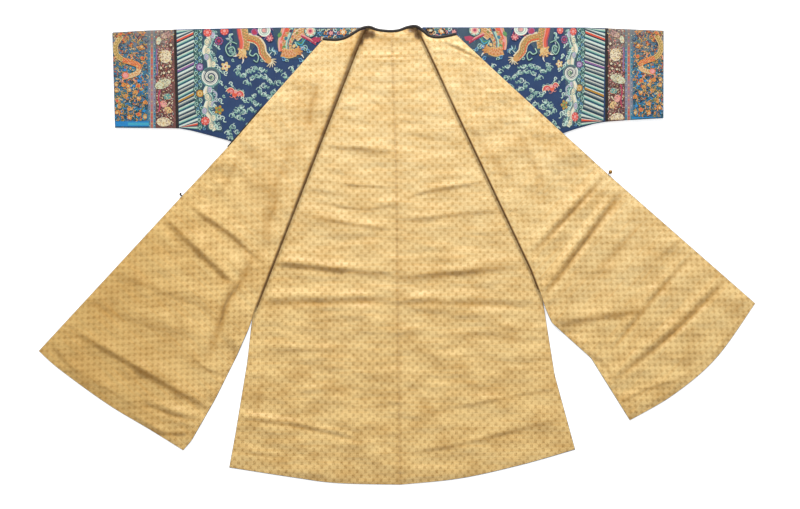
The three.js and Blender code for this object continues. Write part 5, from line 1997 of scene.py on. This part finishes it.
class ROBE_OT_button(bpy.types.Operator):
    """Set the chased gilt ball button and its shank on the right front edge"""

    bl_idname = "robe.button"
    bl_label = "Button"

    def execute(self, context):
        x, y, z, slope, seat_reach, radius = BUTTON_SEAT.values()
        slope, foot = np.array(slope), np.array([x, y])
        centre = np.array([*(foot + slope * seat_reach), radius])
        rings, sides = 24, 32
        turn = np.linspace(0, math.pi, rings)
        around = np.arange(sides) * 2 * math.pi / sides
        chasing = CHASING["depth"] * np.sin(turn * CHASING["rings"])[:, None]
        reach = radius * (1 + chasing * np.cos(around * CHASING["lobes"]))
        way = np.array([*slope, 0.0]) / np.linalg.norm(slope)
        axes = np.stack([way, [-way[1], way[0], 0.0], [0.0, 0.0, 1.0]])
        round_it = np.sin(turn)[:, None]
        shares = np.stack([
            np.cos(turn)[:, None] * np.ones(sides), round_it * np.cos(around),
            round_it * np.sin(around),
        ], -1)
        ball = centre + (shares * reach[..., None]) @ axes
        numbers = np.arange((rings - 2) * sides).reshape(-1, sides)
        faces = quads(np.hstack([numbers, numbers[:, :1]])).tolist()
        last = numbers.size
        for i in range(sides):
            j = (i + 1) % sides
            faces.append([last, int(numbers[0, i]), int(numbers[0, j])])
            faces.append([last + 1, int(numbers[-1, j]), int(numbers[-1, i])])
        points = np.vstack([ball[1:-1].reshape(-1, 3), ball[[0, -1], 0]])
        points[:, 2] = np.maximum(points[:, 2], 0.0)
        piece = mesh_piece("button_ball", points, faces, edge_angle=60)
        dress(piece, LOOKS["gilt_brass"], "gilt_brass", "button")
        ends = np.array([[*(foot + slope * d), z] for d in (GAP, seat_reach - radius - GAP)])
        shank = cord("button_shank_cord", np.linspace(*ends, 6), CORD_RADIUS, CORD_RADIUS)
        dress(shank, LOOKS["black_satin"], "black_satin", "button_shank")
        return {"FINISHED"}


class ROBE_OT_stitching(bpy.types.Operator):
    """Sew the lining's edges and seams with small stitches"""

    bl_idname = "robe.stitching"
    bl_label = "Stitching"

    def execute(self, context):
        sizes = sizes_of(context)
        along = np.linspace(0.01, 0.99, 80)

        def beside_edges(cut, edges):
            for edge, way in edges:
                curved = edge.endswith("hem")
                off = way * cut["side"] * sizes.stitch_inset / MM
                yield moved(Edge(cut[edge], curved).share(along), off)

        def on_lining(name, line):
            return np.column_stack([line, on_back(SIDES[name], line, sizes)])

        for name, cut in SIDES.items():
            routes = []
            for line in beside_edges(cut, (("front_edge", -1), ("hem", 1), ("vent_edge", 1))):
                lift = front_rise(cut, name, line, sizes)[0]
                z = carried(cut, line) + LAYER + STITCH_LIFT + lift
                routes.append(np.column_stack([line, z]))
            stitches(f"front_stitches_{name}", routes, sizes)
            lines = beside_edges(cut, (("back_vent_edge", -1), ("back_hem", 1)))
            stitches(f"back_stitches_{name}", [on_lining(name, line) for line in lines], sizes)
        seam = Edge(CENTRE_SEAM).share(along)
        routes = [
            on_lining("left", moved(seam, -SEAM_HALF)), on_lining("right", moved(seam, SEAM_HALF)),
            *(on_lining(name, from_photo(through(line, 8))) for name, line in NECK_PIECING.items()),
        ]
        stitches("seam_stitches", routes, sizes, 0.0026, 0.006)
        return {"FINISHED"}


# Place, power and size
LIGHTS = {
    "top_left_light": ((-1.4, 2.9, 2.0), 54.0, 0.9),
    "top_right_light": ((0.7, 3.2, 1.95), 106.0, 0.7),
    "foot_light": ((0.0, -3.2, 3.0), 22.0, 2.4),
}
LIGHT_AIM = (0.0, 0.1, 0.0)
WORLD_STRENGTH = 0.46
FLOOR_SIZE, FLOOR_DROP = 12.0, 0.0004
SENSOR_WIDTH, CLIP_END = 36.0, 60.0


class ROBE_OT_stage(bpy.types.Operator):
    """Set the pale floor, the soft lights and the camera straight above"""

    bl_idname = "robe.stage"
    bl_label = "Stage"

    def execute(self, context):
        scene = context.scene
        bpy.ops.mesh.primitive_grid_add(
            x_subdivisions=2, y_subdivisions=2, size=FLOOR_SIZE, location=(0, 0, -FLOOR_DROP),
        )
        floor = context.active_object
        floor.name = "floor"
        floor.data.materials.append(floor_white())
        world = bpy.data.worlds.new("Soft studio")
        world.use_nodes = True
        back = world.node_tree.nodes["Background"]
        back.inputs["Color"].default_value = (1.0, 1.0, 1.0, 1)
        back.inputs["Strength"].default_value = WORLD_STRENGTH
        scene.world = world
        for name, (place, power, size) in LIGHTS.items():
            light = bpy.data.lights.new(name, "AREA")
            light.energy, light.shape, light.size = power, "SQUARE", size
            holder = placed(name, light)
            holder.location = place
            aim = Vector(LIGHT_AIM) - holder.location
            holder.rotation_euler = aim.to_track_quat("-Z", "Y").to_euler()
        camera = bpy.data.cameras.new("camera")
        camera.lens = sizes_of(context).camera_lens
        camera.sensor_width, camera.clip_end = SENSOR_WIDTH, CLIP_END
        holder = placed("camera", camera)
        width = PHOTO_SIZE[0] * PHOTO_SCALE * MM
        middle = from_photo([PHOTO_SIZE[0] / 2, PHOTO_SIZE[1] / 2]) * MM
        holder.location = (*middle, BODY_TOP * MM + width * camera.lens / SENSOR_WIDTH)
        scene.camera = holder
        scene.view_settings.view_transform = "Standard"
        return {"FINISHED"}


class ROBE_PT_panel(bpy.types.Panel):
    """The robe's steps in order"""

    bl_label = "Robe"
    bl_idname = "ROBE_PT_panel"
    bl_space_type = "VIEW_3D"
    bl_region_type = "UI"
    bl_category = "Robe"

    def draw(self, context):
        for group in (context.scene.robe_sizes, context.scene.robe_colours):
            column = self.layout.column()
            for name in group.__annotations__:
                column.prop(group, name)
        for step in STEPS:
            self.layout.operator(step.bl_idname)


# Flat sizes of the cut pieces, in metres: width and length, and the area of what shows
SLEEVE_DEPTH = {"sleeve": 275.0, "patterned_band": 250.0, "ribbon": 246.0, "cuff": 242.0}
TUBE_AREA = {("sleeve", "left"): 0.138, ("sleeve", "right"): 0.119}

STEPS = (
    ROBE_OT_finishes, ROBE_OT_back, ROBE_OT_fronts, ROBE_OT_sleeves, ROBE_OT_needlework,
    ROBE_OT_trims, ROBE_OT_button, ROBE_OT_stitching, ROBE_OT_stage,
)
CLASSES = (RobeSizes, RobeColours, *STEPS, ROBE_PT_panel)


def register():
    for part in CLASSES:
        bpy.utils.register_class(part)
    bpy.types.Scene.robe_sizes = bpy.props.PointerProperty(type=RobeSizes)
    bpy.types.Scene.robe_colours = bpy.props.PointerProperty(type=RobeColours)


def unregister():
    del bpy.types.Scene.robe_sizes
    del bpy.types.Scene.robe_colours
    for part in reversed(CLASSES):
        bpy.utils.unregister_class(part)


def main():
    register()
    for step in STEPS:
        group, name = step.bl_idname.split(".")
        getattr(getattr(bpy.ops, group), name)()
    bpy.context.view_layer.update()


if __name__ == "__main__":
    main()
